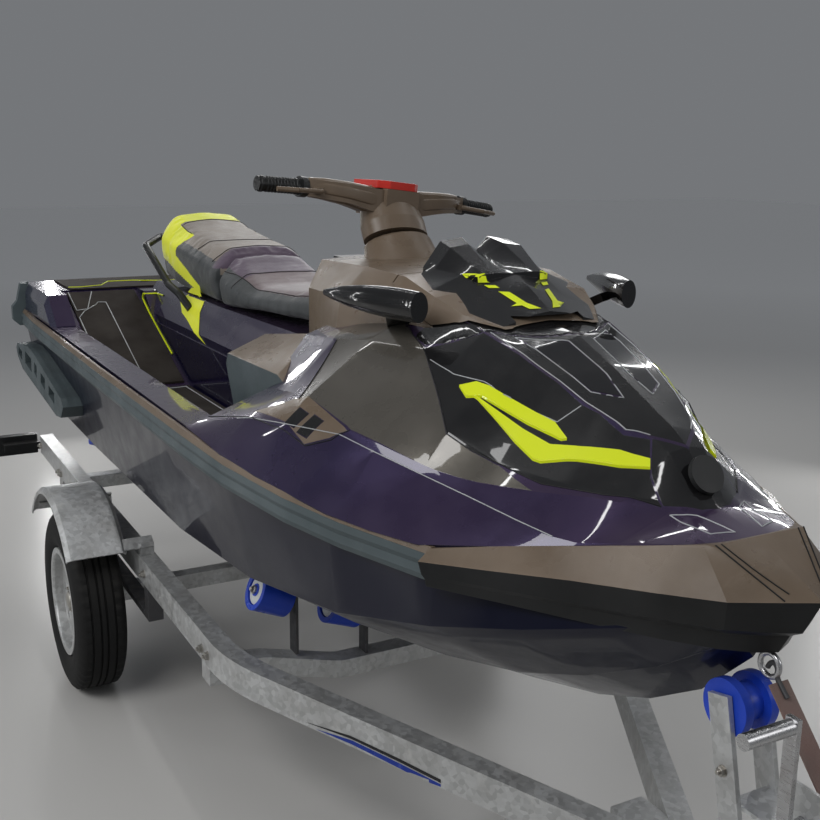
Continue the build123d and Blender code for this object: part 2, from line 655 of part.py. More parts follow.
# Trailer
CROSS_FRONT_X = 2085.0
CROSS_REAR_X = 330.0
RAIL_WIDTH = 50.0
RAIL_HEIGHT = 75.0
RAIL_Y = 532.0
RAIL_BEND_X = 2225.0
RAIL_END = (3165.0, 28.0, RAIL_TOP_Z - 0.098 * 865)
BEAM_Z = (325.0, 400.0)
BEAM_X = (3020.0, 4180.0)
BEAM_HALF = 40.0


def make_rail(sign):
    mid = RAIL_TOP_Z - RAIL_HEIGHT / 2
    path = FilletPolyline((-80, sign * RAIL_Y, mid), (RAIL_BEND_X, sign * RAIL_Y, mid),
                          (RAIL_END[0], sign * RAIL_END[1], RAIL_END[2] - RAIL_HEIGHT / 2), radius=400)
    section = Plane(origin=(-80, sign * RAIL_Y, mid), x_dir=(0, 1, 0), z_dir=(1, 0, 0))
    return sweep(section * Rectangle(RAIL_WIDTH, RAIL_HEIGHT), path=path)


def make_drawbar():
    beam = box(BEAM_X, (-BEAM_HALF, BEAM_HALF), BEAM_Z)
    bracket = box((JACK_X - 32, JACK_X + 32), (BEAM_HALF, 52), (335, JACK_PIVOT_Z + 34))
    hole = rod((JACK_X, 30, JACK_PIVOT_Z), (JACK_X, 70, JACK_PIVOT_Z), 10.4)
    return beam + bracket - hole


def make_crossmembers():
    front_z = RAIL_TOP_Z - RAIL_HEIGHT - 25.3
    path = FilletPolyline((CROSS_FRONT_X, -557, front_z), (CROSS_FRONT_X, -420, front_z),
                          (CROSS_FRONT_X, -200, front_z - 60), (CROSS_FRONT_X, 200, front_z - 60),
                          (CROSS_FRONT_X, 420, front_z), (CROSS_FRONT_X, 557, front_z), radius=180)
    section = Plane(origin=(CROSS_FRONT_X, -557, front_z), x_dir=(1, 0, 0), z_dir=(0, 1, 0))
    front = sweep(section * Rectangle(60, 50), path=path)
    rear = box((CROSS_REAR_X - 30, CROSS_REAR_X + 30), (-557, 557), (front_z - 25, front_z + 25))
    return front, rear


def make_axle():
    beam = box((WHEEL_X - 25, WHEEL_X + 25), (-575, 575), (TYRE_RADIUS - 25, TYRE_RADIUS + 25))
    stub = rod((WHEEL_X, -680, TYRE_RADIUS), (WHEEL_X, 680, TYRE_RADIUS), 18)
    return beam + stub


def make_springs():
    high = RAIL_TOP_Z - RAIL_HEIGHT - 0.3
    leaf = box((WHEEL_X - 330, WHEEL_X + 330), (RAIL_Y - 22, RAIL_Y + 22), (TYRE_RADIUS + 25, TYRE_RADIUS + 43))
    for x in (WHEEL_X - 310, WHEEL_X + 310):
        leaf += box((x - 20, x + 20), (RAIL_Y - 22, RAIL_Y + 22), (TYRE_RADIUS + 40, high))
    return both_sides(leaf)


# Tyre section. Columns: distance from the middle plane, radius
TYRE_SECTION = ((60, 168), (75, 205), (75, 246), (62, 270), (48, 277))
RIM_SLOTS = 8


def wheel_face(points):
    """A face in the wheel's own half plane: across the wheel, then out from its axle."""
    return make_face(Polyline(*points, close=True))


def make_wheel(sign):
    centre = Pos(WHEEL_X, sign * WHEEL_Y, TYRE_RADIUS)
    section = TYRE_SECTION + tuple((-y, r) for y, r in reversed(TYRE_SECTION))
    upright = Plane(origin=(0, 0, 0), x_dir=(0, 1, 0), z_dir=(1, 0, 0))
    axle = Axis((0, 0, 0), (0, 1, 0))
    tyre = centre * revolve(upright * wheel_face(section), axis=axle)
    barrel = ((-67, 150), (-67, 167.5), (67, 167.5), (67, 150), (60, 146), (-60, 146))
    rim = revolve(upright * wheel_face(barrel), axis=axle)
    dish = ((12, 19), (26, 19), (26, 44), (34, 96), (34, 147), (28, 147), (28, 98), (20, 48), (12, 48))
    rim += revolve(upright * wheel_face([(sign * y, r) for y, r in dish]), axis=axle)
    for i in range(RIM_SLOTS):
        slot = Pos(0, 0, 122) * Box(24, 90, 16)
        rim -= slot.rotate(axle, i * 360 / RIM_SLOTS)
    return tyre, centre * rim


# Mudguard section above the wheel. Columns: y, radius from the axle
GUARD_SECTION = ((595, 340), (598, 340), (600, 348), (610, 354), (750, 354), (760, 348), (762, 340), (765, 340),
                 (766, 350), (754, 360), (606, 360), (594, 350))
GUARD_ANGLES = (40.0, 142.0)
STAY_ANGLES = (44.0, 138.0)


def make_mudguards():
    """Rolled steel guards carried by a stay from the rail at each end."""
    front, rear = GUARD_ANGLES
    axle = Axis((WHEEL_X, 0, TYRE_RADIUS), (0, 1, 0))
    upright = Plane(origin=(WHEEL_X, 0, TYRE_RADIUS), x_dir=(0, 1, 0), z_dir=(1, 0, 0))
    guard = revolve(upright * wheel_face(GUARD_SECTION), axis=axle, revolution_arc=rear - front)
    guard = guard.rotate(axle, 90 - rear)
    for angle in STAY_ANGLES:
        out_x, out_z = math.cos(math.radians(angle)), math.sin(math.radians(angle))
        x, z = WHEEL_X + 352 * out_x, TYRE_RADIUS + 352 * out_z
        guard += bar((x, 512, z), (x, 744, z), 36, 6, up=(out_x, 0, out_z))
        guard += box((x - 12, x + 12), (512, 552), (RAIL_TOP_Z + 0.3, z + 1))
    return both_sides(guard)


# Hull rollers. Columns: x of the pair, centre y, roller length
ROLLER_ROWS = (
    (CROSS_FRONT_X, 360, 90), (CROSS_FRONT_X, 165, 90),
    (CROSS_REAR_X, 360, 90), (CROSS_REAR_X, 205, 90),
)
ROLLER_RADIUS = 52.0
ROLLER_HOLLOW = 12.0


def hull_height(y):
    """Height and slope of the hull's bottom at a distance from the centre line."""
    _, keel, strake_y, strake_z, chine_y, chine_z = HULL_ROWS[0][:6]
    if y < strake_y:
        slope = (strake_z - 6 - keel) / strake_y
        return keel + slope * y, slope
    slope = (chine_z - strake_z + 6) / (chine_y - strake_y - 18)
    return strake_z - 6 + slope * (y - strake_y - 18), slope


def roller_body(length):
    """A roller with a hollow face round its hub at each end."""
    body = extrude(Circle(ROLLER_RADIUS) - Circle(9), length)
    hollow = extrude(Circle(38) - Circle(16), ROLLER_HOLLOW)
    return body - hollow - Pos(0, 0, length - ROLLER_HOLLOW) * hollow


def make_rollers(members):
    solids, stands = [], []
    for x, y, length in ROLLER_ROWS:
        z, slope = hull_height(y)
        tilt = math.atan(slope)
        along = Vector(0, math.cos(tilt), math.sin(tilt))
        centre = Vector(x, y, z) + Vector(0, math.sin(tilt), -math.cos(tilt)) * (ROLLER_RADIUS + 1.5)
        start = centre - along * (length / 2)
        one = Plane(origin=start, z_dir=along) * roller_body(length)
        solids += both_sides(one)
        pin = Plane(origin=start - along * 24, z_dir=along) * extrude(Circle(8.5), length + 32)
        foot = start - along * 22
        low = RAIL_TOP_Z - RAIL_HEIGHT - (70 if y < 250 and x == CROSS_FRONT_X else 20)
        stand = box((x - 20, x + 20), (foot.Y - 4, foot.Y + 4), (low, foot.Z + 14))
        stands += both_sides(largest((pin + stand) - members))
    return {"rollers": solids, "roller_brackets": stands}


POST_FOOT = (3382.4, 340.0)
BOW_ROLLER = (3291.6, 744.4)
BOW_ROLLER_RADIUS = 50.0
WINCH_X = 3478.0
WINCH_Z = 640.0


def make_winch():
    top_x = BOW_ROLLER[0] - 0.22 * 24
    top_z = BOW_ROLLER[1] + 24
    post = []
    for sign in (1, -1):
        arm = bar((POST_FOOT[0], sign * 45.3, POST_FOOT[1]), (top_x, sign * 45.3, top_z), 10, 46, up=(1, 0, 0))
        pin = rod((BOW_ROLLER[0], sign * 42, BOW_ROLLER[1]), (BOW_ROLLER[0], sign * 38.2, BOW_ROLLER[1]), 9)
        post.append(arm + pin)
    seat = box((3325, 3420), (-40.2, 40.2), (584, 592))
    roller = rod((BOW_ROLLER[0], -38, BOW_ROLLER[1]), (BOW_ROLLER[0], 38, BOW_ROLLER[1]), 34)
    for low, high in ((-38, -20), (20, 38)):
        roller += rod((BOW_ROLLER[0], low, BOW_ROLLER[1]), (BOW_ROLLER[0], high, BOW_ROLLER[1]), BOW_ROLLER_RADIUS)
    frame = box((3420, 3530), (-46, 46), (584, 592))
    for sign in (1, -1):
        cheek = box((3430, 3530), sorted((sign * 40, sign * 46)), (592, 700))
        frame += cheek - rod((WINCH_X, sign * 30, WINCH_Z), (WINCH_X, sign * 60, WINCH_Z), 9.5)
    drum = rod((WINCH_X, -92, WINCH_Z), (WINCH_X, 60, WINCH_Z), 9)
    drum += rod((WINCH_X, -34, WINCH_Z), (WINCH_X, 34, WINCH_Z), 26)
    drum += box((WINCH_X - 12, WINCH_X + 12), (-92, -82), (WINCH_Z - 10, WINCH_Z + 190))
    drum += rod((WINCH_X, -92, WINCH_Z + 176), (WINCH_X, -190, WINCH_Z + 176), 13)
    return {"winch_post": [post[0] + seat + post[1] + frame], "rollers": [roller], "winch_drum": [drum]}


def make_strap():
    start = Vector(WINCH_X + 24.2, 0, WINCH_Z + 21.6)
    end = Vector(BOW_EYE_X + 20, 0, BOW_EYE_Z - 22.4)
    return [bar(tuple(start), tuple(end), 3, 42, up=(0, 1, 0))]


BALL_X = 4318.0


def make_coupling():
    seat = BEAM_Z[1] + 0.3
    ball_z = seat + 12
    body = box((4100, COUPLING_X), (-34, 34), (seat, seat + 36))
    body += Pos(BALL_X, 0, seat) * extrude(Circle(32), 52)
    body -= Pos(BALL_X, 0, ball_z) * Sphere(25)
    body -= Pos(BALL_X, 0, seat - 20) * extrude(Circle(25), 32)
    return body


def make_jack():
    """Jockey leg: a tube that swings on the drawbar, a sliding leg, a castor fork and its wheel."""
    tube = Pos(JACK_X, JACK_Y, 345) * extrude(Circle(26) - Circle(21), 345)
    tube += rod((JACK_X, JACK_Y, 690), (JACK_X, JACK_Y, 704), 30)
    tube += rod((JACK_X, 30, JACK_PIVOT_Z), (JACK_X, JACK_Y - 24, JACK_PIVOT_Z), 10)
    tube += box((JACK_X - 26, JACK_X + 26), (57, 72), (JACK_PIVOT_Z - 24, JACK_PIVOT_Z + 24))
    tube -= Pos(JACK_X, JACK_Y, 300) * extrude(Circle(21), 390)
    crank = rod((JACK_X, JACK_Y, 704), (JACK_X, JACK_Y, 730), 8)
    crank += rod((JACK_X, JACK_Y, 722), (JACK_X, JACK_Y + 110, 722), 7)
    crank += rod((JACK_X, JACK_Y + 104, 722), (JACK_X, JACK_Y + 104, 790), 11)
    leg = rod((JACK_X, JACK_Y, 236), (JACK_X, JACK_Y, 560), 20.5)
    fork = rod((JACK_X, JACK_Y, 216), (JACK_X, JACK_Y, 235.5), 24)
    fork += box((JACK_X - JOCKEY_TRAIL - 24, JACK_X + 26), (JACK_Y - 34, JACK_Y + 34), (206, 218))
    for sign in (1, -1):
        cheek = side_prism(((JACK_X - 60, 208), (JACK_X + 20, 208), (JACK_X - JOCKEY_TRAIL + 16, JOCKEY_RADIUS - 12),
                            (JACK_X - JOCKEY_TRAIL - 16, JOCKEY_RADIUS - 12)),
                           *sorted((JACK_Y + sign * 28, JACK_Y + sign * 34)))
        fork += cheek
    axle_x = JACK_X - JOCKEY_TRAIL
    fork += rod((axle_x, JACK_Y - 34, JOCKEY_RADIUS), (axle_x, JACK_Y + 34, JOCKEY_RADIUS), 8)
    wheel = rod((axle_x, JACK_Y - 22, JOCKEY_RADIUS), (axle_x, JACK_Y + 22, JOCKEY_RADIUS), JOCKEY_RADIUS)
    wheel -= rod((axle_x, JACK_Y - 23, JOCKEY_RADIUS), (axle_x, JACK_Y + 23, JOCKEY_RADIUS), 8.6)
    return {"jack_tube": [tube + crank], "jack_leg": [leg], "jockey_fork": [fork], "jockey_wheel": [wheel]}


def make_lamps():
    lamp = box((REAR_X, -120), (560, 745), (400, 480))
    arm = box((-120, -80.3), (515, 700), (425, 455))
    return both_sides(lamp + arm)


def main():
    envelope = make_envelope()
    core = loft_rows(FORE_ROWS, core_points)
    nodes = {"hull": [make_hull()], "engine": [make_engine()]}
    pieces = make_skin_pieces(envelope, core)
    nodes.update(pieces)
    rear_deck = make_rear_deck()
    deck = make_deck(envelope, core, pieces) + rear_deck
    nodes["deck"] = [deck]
    nodes["nose_disc"] = [make_nose_disc() - envelope]
    hull = nodes["hull"][0]
    strips, trims = make_strips()
    nodes["rub_rails"] = [largest(strip - deck - hull) for strip in strips]
    nodes["rub_rails"] = [largest(strip + (guard - deck - hull))
                          for strip, guard in zip(nodes["rub_rails"], make_corner_guards())]
    nodes["rub_trims"] = [largest(trim - deck - hull - rail) for trim, rail in zip(trims, nodes["rub_rails"])]
    bumper_top, bumper_base = make_bumper()
    nodes["bow_bumper_top"] = [largest(bumper_top - envelope - hull)]
    nodes["bow_bumper_base"] = [largest(bumper_base - envelope - hull - nodes["bow_bumper_top"][0])]
    console = make_console(envelope, rear_deck)
    nodes["console"] = [console]
    nodes["glove_lid"] = [make_glove_lid()]
    nodes["storage_cover"] = [make_cover(envelope)]
    nodes["visor"] = [make_visor(nodes["storage_cover"][0])]
    nodes["mirrors"] = make_mirrors(console, envelope)
    nodes.update({name: [turn_steering(one) for one in group] for name, group in make_steering().items()})
    front, rear = make_seats()
    nodes["seat_front"], nodes["seat_rear"] = [front], [rear]
    nodes["grab_handle"] = make_grab_handle(rear_deck)
    nodes["knee_pads"] = make_knee_pads(envelope, rear_deck, console)
    nodes["mats"] = make_mats()
    nodes["sponsons"] = make_sponsons(hull)
    nodes.update(make_jet())
    nodes["ladder"] = make_ladder()
    nodes["hull_fittings"] = make_fittings()
    drawbar = make_drawbar()
    nodes["drawbar"] = [drawbar]
    nodes["rail_left"], nodes["rail_right"] = [make_rail(1) - drawbar], [make_rail(-1) - drawbar]
    crossmembers = make_crossmembers()
    nodes["crossmembers"] = list(crossmembers)
    nodes["axle"], nodes["springs"] = [make_axle()], make_springs()
    for side, sign in (("left", 1), ("right", -1)):
        tyre, rim = make_wheel(sign)
        nodes["tyre_" + side], nodes["rim_" + side] = [tyre], [rim]
    nodes["mudguards"] = make_mudguards()
    roller_groups = make_rollers(crossmembers[0] + crossmembers[1])
    winch_groups = make_winch()
    nodes["rollers"] = roller_groups["rollers"] + winch_groups.pop("rollers")
    nodes["roller_brackets"] = roller_groups["roller_brackets"]
    nodes.update(winch_groups)
    nodes["winch_strap"] = make_strap()
    nodes["coupling"] = [make_coupling()]
    nodes.update(make_jack())
    nodes["tail_lamps"] = make_lamps()

    os.makedirs("parts", exist_ok=True)
    for name, solids in nodes.items():
        flat = [solid for piece in solids for solid in piece.solids()]
        shape = Compound(children=[Pos(-ORIGIN_X, 0, 0) * solid for solid in flat])
        export_step(shape, f"parts/{name}.step")
        print(name, len(flat), round(shape.volume / 1e6, 2))


main()
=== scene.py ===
import math

import bmesh
import bpy
from mathutils import Matrix, Vector
from mathutils.bvhtree import BVHTree


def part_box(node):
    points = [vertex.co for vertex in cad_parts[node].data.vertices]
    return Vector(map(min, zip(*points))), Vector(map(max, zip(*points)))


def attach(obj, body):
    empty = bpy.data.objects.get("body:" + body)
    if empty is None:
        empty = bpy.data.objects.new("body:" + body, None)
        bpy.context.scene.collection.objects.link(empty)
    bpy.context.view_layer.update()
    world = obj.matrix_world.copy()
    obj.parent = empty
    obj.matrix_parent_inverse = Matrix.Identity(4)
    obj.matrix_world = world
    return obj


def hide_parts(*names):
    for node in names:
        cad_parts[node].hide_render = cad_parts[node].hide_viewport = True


bl_info = {
    "name": "Watercraft On Trailer",
    "version": (1, 0, 0),
    "blender": (4, 5, 0),
    "location": "3D View > Sidebar > Watercraft",
    "description": "Dresses a packed personal watercraft and its road trailer in a small studio",
    "category": "Object",
}

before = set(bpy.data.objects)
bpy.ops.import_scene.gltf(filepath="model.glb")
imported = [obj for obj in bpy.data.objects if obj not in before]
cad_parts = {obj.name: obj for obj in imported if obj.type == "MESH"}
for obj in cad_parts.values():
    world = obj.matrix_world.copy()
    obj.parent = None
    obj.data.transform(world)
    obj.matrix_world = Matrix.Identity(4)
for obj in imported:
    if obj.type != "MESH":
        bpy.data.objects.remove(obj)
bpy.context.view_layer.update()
ROOT = "craft_on_trailer"

# The frame's origin is 2.095 m ahead of the transom, below the middle of the whole
STERN_X = -2.095


def station(x, y, z):
    """A point given by its distance ahead of the transom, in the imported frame."""
    return Vector((x + STERN_X, y, z))


# Camera, fitted to the photograph
CAMERA_PLACE = station(4.502, -1.307, 1.648)
CAMERA_TURN = math.radians(61.37)
CAMERA_DROP = math.radians(13.34)
CAMERA_ROLL = math.radians(0.653)
CAMERA_LENS = 47.88
SENSOR_WIDTH = 36.0


# Node helpers

def add_node(tree, kind, inputs=None, **settings):
    """One shader or geometry node with its settings and unlinked input values."""
    node = tree.nodes.new(kind)
    for key, value in settings.items():
        setattr(node, key, value)
    for key, value in (inputs or {}).items():
        node.inputs[key].default_value = value
    return node


def join(tree, source, target):
    tree.links.new(source, target)


def ramp(tree, source, low, high, dark=0.0, light=1.0):
    """Maps a value between low and high to dark and light, clamped."""
    node = add_node(tree, "ShaderNodeMapRange",
                    {"From Min": low, "From Max": high, "To Min": dark, "To Max": light})
    join(tree, source, node.inputs["Value"])
    return node.outputs["Result"]


def blend_colors(tree, factor, first, second):
    """A colour mix; factor, first and second are sockets or plain values."""
    node = add_node(tree, "ShaderNodeMix", data_type="RGBA")
    for value, index in ((factor, 0), (first, 6), (second, 7)):
        if isinstance(value, bpy.types.NodeSocket):
            join(tree, value, node.inputs[index])
        elif index == 0:
            node.inputs[index].default_value = value
        else:
            node.inputs[index].default_value = (*value, 1.0)
    return node.outputs[2]


def calculate(tree, operation, first, second):
    """One math node; first and second are sockets or numbers."""
    node = add_node(tree, "ShaderNodeMath", operation=operation)
    for value, index in ((first, 0), (second, 1)):
        if isinstance(value, bpy.types.NodeSocket):
            join(tree, value, node.inputs[index])
        else:
            node.inputs[index].default_value = value
    return node.outputs[0]


def object_place(tree):
    return add_node(tree, "ShaderNodeTexCoord").outputs["Object"]


def noise(tree, scale, detail=3.0, stretch=None, roughness=0.55):
    """A noise value in the object's own metres, stretched along its axes if asked."""
    texture = add_node(tree, "ShaderNodeTexNoise",
                       {"Scale": scale, "Detail": detail, "Roughness": roughness})
    place = object_place(tree)
    if stretch:
        mapping = add_node(tree, "ShaderNodeMapping")
        mapping.inputs["Scale"].default_value = stretch
        join(tree, place, mapping.inputs["Vector"])
        place = mapping.outputs["Vector"]
    join(tree, place, texture.inputs["Vector"])
    return texture.outputs["Fac"]


def looks_up(tree, low, high):
    """0 to 1 as a face turns from upright to level, between two heights of its normal."""
    split = add_node(tree, "ShaderNodeSeparateXYZ")
    join(tree, add_node(tree, "ShaderNodeNewGeometry").outputs["Normal"], split.inputs[0])
    return ramp(tree, split.outputs["Z"], low, high)


def make_group(name, sockets_in, socket_out, build):
    """A shared effect: a node group with number inputs and one output."""
    group = bpy.data.node_groups.new(name, "ShaderNodeTree")
    for socket, value in sockets_in:
        item = group.interface.new_socket(name=socket, in_out="INPUT", socket_type="NodeSocketFloat")
        item.default_value = value
    group.interface.new_socket(name=socket_out, in_out="OUTPUT", socket_type="NodeSocketFloat")
    entry = group.nodes.new("NodeGroupInput")
    leave = group.nodes.new("NodeGroupOutput")
    join(group, build(group, entry.outputs), leave.inputs[0])
    return group


def build_edge_wear(tree, inputs):
    """High where a rounded normal departs from the true one, broken up by noise."""
    rounded = add_node(tree, "ShaderNodeBevel", samples=4)
    join(tree, inputs["Width"], rounded.inputs["Radius"])
    geometry = add_node(tree, "ShaderNodeNewGeometry")
    dot = add_node(tree, "ShaderNodeVectorMath", operation="DOT_PRODUCT")
    join(tree, rounded.outputs["Normal"], dot.inputs[0])
    join(tree, geometry.outputs["Normal"], dot.inputs[1])
    edge = ramp(tree, dot.outputs["Value"], 0.94, 0.75)
    broken = ramp(tree, noise(tree, 60.0), 0.35, 0.6)
    return calculate(tree, "MULTIPLY", calculate(tree, "MULTIPLY", edge, broken), inputs["Amount"])


def build_dust(tree, inputs):
    """Settled dust: more on faces that look up, in soft patches."""
    patches = ramp(tree, noise(tree, 7.0, 6.0), 0.4, 0.7)
    settled = calculate(tree, "MULTIPLY", looks_up(tree, 0.2, 1.0), patches)
    return calculate(tree, "MULTIPLY", settled, inputs["Amount"])


def build_grain(tree, inputs):
    """Fine moulded grain, as a height."""
    cells = add_node(tree, "ShaderNodeTexVoronoi", feature="F1")
    join(tree, object_place(tree), cells.inputs["Vector"])
    join(tree, inputs["Scale"], cells.inputs["Scale"])
    return cells.outputs["Distance"]


def build_peel(tree, inputs):
    """Slow waviness of sprayed paint, as a height."""
    texture = add_node(tree, "ShaderNodeTexNoise", {"Detail": 1.0})
    join(tree, object_place(tree), texture.inputs["Vector"])
    join(tree, inputs["Scale"], texture.inputs["Scale"])
    return texture.outputs["Fac"]


def build_spangle(tree, inputs):
    """Zinc crystals: one random value in each cell."""
    cells = add_node(tree, "ShaderNodeTexVoronoi", feature="F1")
    join(tree, object_place(tree), cells.inputs["Vector"])
    join(tree, inputs["Scale"], cells.inputs["Scale"])
    split = add_node(tree, "ShaderNodeSeparateColor")
    join(tree, cells.outputs["Color"], split.inputs[0])
    return split.outputs[0]


def build_weave(tree, inputs):
    """Two crossed rows of threads, as a height."""
    waves = []
    for direction in ("X", "Y"):
        wave = add_node(tree, "ShaderNodeTexWave", wave_type="BANDS", bands_direction=direction)
        join(tree, object_place(tree), wave.inputs["Vector"])
        join(tree, inputs["Scale"], wave.inputs["Scale"])
        waves.append(wave.outputs["Fac"])
    return calculate(tree, "MAXIMUM", waves[0], waves[1])


GROUPS = {
    "edge_wear": ((("Width", 0.003), ("Amount", 0.5)), "Mask", build_edge_wear),
    "dust": ((("Amount", 0.3),), "Mask", build_dust),
    "grain": ((("Scale", 700.0),), "Height", build_grain),
    "paint_peel": ((("Scale", 120.0),), "Height", build_peel),
    "spangle": ((("Scale", 90.0),), "Value", build_spangle),
    "weave": ((("Scale", 300.0),), "Height", build_weave),
}


def effect(tree, name, **values):
    """Uses a shared effect in a material and returns its output."""
    group = bpy.data.node_groups.get(name)
    if group is None:
        sockets_in, socket_out, build = GROUPS[name]
        group = make_group(name, sockets_in, socket_out, build)
    node = add_node(tree, "ShaderNodeGroup", node_tree=group)
    for key, value in values.items():
        node.inputs[key].default_value = value
    return node.outputs[0]


def bump(tree, shader, height, distance, strength):
    node = add_node(tree, "ShaderNodeBump", {"Strength": strength, "Distance": distance})
    join(tree, height, node.inputs["Height"])
    join(tree, node.outputs["Normal"], shader.inputs["Normal"])


# Socket names of the principled shader, by the short names used below
SOCKETS = {"metallic": "Metallic", "roughness": "Roughness", "ior": "IOR",
           "specular": "Specular IOR Level", "coat": "Coat Weight", "coat_roughness": "Coat Roughness",
           "sheen": "Sheen Weight", "sheen_roughness": "Sheen Roughness",
           "transmission": "Transmission Weight"}


def start_material(name, **sockets):
    """A new material with a principled shader whose constant sockets are set by short name."""
    material = bpy.data.materials.new("finish_" + name)
    material.use_nodes = True
    tree = material.node_tree
    shader = tree.nodes["Principled BSDF"]
    for key, value in sockets.items():
        shader.inputs[SOCKETS[key]].default_value = value
    return material, tree, shader


# Materials

def toned(color, factor, lift=0.0):
    """A colour made paler or darker: each part times factor, plus lift."""
    return tuple(min(1.0, part * factor + lift) for part in color)


# Colour of the dust on each kind of finish
DUST = {"paint": (0.30, 0.28, 0.25), "plastic": (0.33, 0.31, 0.28), "rubber": (0.25, 0.23, 0.20),
        "vinyl": (0.35, 0.33, 0.31), "lens": (0.35, 0.32, 0.28)}
# Colour that an edge is rubbed down to
RUBBED_PAINT = (0.3, 0.3, 0.32)
RUBBED_ZINC = (0.70, 0.71, 0.72)
RUBBED_METAL = (0.8, 0.8, 0.8)
ZINC_BLOTCH = (0.27, 0.26, 0.245)
ZINC_BLOOM = (0.62, 0.62, 0.60)
METAL_STAIN = (0.14, 0.10, 0.08)
WEBBING_STAIN = (0.18, 0.16, 0.14)


def add_dust(tree, color, kind, amount):
    return blend_colors(tree, effect(tree, "dust", Amount=amount), color, DUST[kind])


def add_wear(tree, color, edge_color, width, amount):
    return blend_colors(tree, effect(tree, "edge_wear", Width=width, Amount=amount), color, edge_color)


def paint(name, side_color, painted_sheen_color, metallic=0.0, roughness=0.3, coat=1.0, dust=0.03):
    """Glossy lacquer in its side colour, with a painted sheen that turns faces that look up towards a
    lighter top colour.
    """
    material, tree, shader = start_material(name, metallic=metallic, coat=coat, coat_roughness=0.03,
                                            specular=0.12)
    # Painted sheen: faces that look up take the lighter top colour
    color = blend_colors(tree, looks_up(tree, 0.35, 0.95), side_color, painted_sheen_color)
    # Soft random patches tinted towards the same painted sheen colour
    color = blend_colors(tree, ramp(tree, noise(tree, 2.5), 0.3, 0.7, 0.0, 0.15), color, painted_sheen_color)
    color = add_dust(tree, color, "paint", dust)
    color = add_wear(tree, color, RUBBED_PAINT, 0.002, 0.06)
    join(tree, color, shader.inputs["Base Color"])
    worn = ramp(tree, noise(tree, 14.0, 5.0), 0.35, 0.75, roughness * 0.8, roughness * 1.25)
    join(tree, worn, shader.inputs["Roughness"])
    bump(tree, shader, effect(tree, "paint_peel", Scale=160.0), 0.0004, 0.15)
    return material


def plastic(name, color, roughness=0.5, grain=900.0, depth=0.0002, dust=0.06, wear=0.2):
    """Moulded plastic with a fine grain, a little dust, long scuffs, and paler edges that are partly wear
    and partly a painted highlight.
    """
    material, tree, shader = start_material(name, specular=0.3)
    clouds = ramp(tree, noise(tree, 5.0, 5.0), 0.35, 0.7)
    mixed = blend_colors(tree, clouds, color, toned(color, 1.35, 0.01))
    mixed = add_dust(tree, mixed, "plastic", dust)
    scuffs = ramp(tree, noise(tree, 38.0, 8.0, (1.0, 0.18, 0.5), 0.7), 0.60, 0.74, 0.0, wear * 0.8)
    mixed = blend_colors(tree, scuffs, mixed, toned(color, 1.9, 0.03))
    # Paler edges: wear together with a painted edge highlight
    mixed = add_wear(tree, mixed, toned(color, 2.2, 0.05), 0.003, wear)
    join(tree, mixed, shader.inputs["Base Color"])
    rough = ramp(tree, noise(tree, 9.0, 6.0), 0.35, 0.7, roughness * 0.7, min(1.0, roughness * 1.35))
    join(tree, rough, shader.inputs["Roughness"])
    bump(tree, shader, effect(tree, "grain", Scale=grain), depth, 0.5)
    return material


def galvanised(name, color, roughness=0.42):
    """Hot-dip zinc: spangled, blotched with white rust, and duller where it has weathered."""
    material, tree, shader = start_material(name, metallic=0.55)
    spangle = effect(tree, "spangle", Scale=85.0)
    mixed = blend_colors(tree, spangle, toned(color, 0.70), color)
    blotches = ramp(tree, noise(tree, 11.0, 7.0), 0.42, 0.70, 0.0, 0.42)
    mixed = blend_colors(tree, blotches, mixed, ZINC_BLOTCH)
    bloom = ramp(tree, noise(tree, 26.0, 7.0, (1.0, 1.0, 0.4)), 0.58, 0.72, 0.0, 0.6)
    mixed = blend_colors(tree, bloom, mixed, ZINC_BLOOM)
    mixed = add_wear(tree, mixed, RUBBED_ZINC, 0.003, 0.6)
    join(tree, mixed, shader.inputs["Base Color"])
    rough = ramp(tree, spangle, 0.0, 1.0, roughness * 0.8, roughness * 1.25)
    join(tree, rough, shader.inputs["Roughness"])
    bump(tree, shader, noise(tree, 90.0, 5.0), 0.0015, 0.35)
    return material


def metal(name, color, roughness=0.35, stretch=(1.0, 12.0, 12.0), wear=0.5, metallic=1.0):
    """Machined or cast metal with fine lines and small stains."""
    material, tree, shader = start_material(name, metallic=metallic)
    lines = noise(tree, 40.0, 6.0, stretch)
    mixed = blend_colors(tree, ramp(tree, lines, 0.3, 0.7), toned(color, 0.75), color)
    stain = ramp(tree, noise(tree, 12.0, 6.0), 0.55, 0.8, 0.0, 0.6)
    mixed = blend_colors(tree, stain, mixed, METAL_STAIN)
    mixed = add_wear(tree, mixed, RUBBED_METAL, 0.002, wear)
    join(tree, mixed, shader.inputs["Base Color"])
    join(tree, ramp(tree, lines, 0.3, 0.7, roughness * 0.7, roughness * 1.4), shader.inputs["Roughness"])
    bump(tree, shader, lines, 0.0003, 0.3)
    return material


def rubber(name, color, roughness=0.75, dust=0.12, scale=60.0):
    """Tyre or moulded rubber, dusty in its hollows."""
    material, tree, shader = start_material(name, specular=0.2)
    patches = ramp(tree, noise(tree, scale, 6.0), 0.4, 0.75, 0.0, dust)
    mixed = blend_colors(tree, patches, color, toned(color, 1.8, 0.02))
    mixed = add_dust(tree, mixed, "rubber", dust)
    join(tree, mixed, shader.inputs["Base Color"])
    rough = ramp(tree, patches, 0.0, 0.6, roughness, min(1.0, roughness * 1.2))
    join(tree, rough, shader.inputs["Roughness"])
    bump(tree, shader, effect(tree, "grain", Scale=500.0), 0.0003, 0.4)
    return material


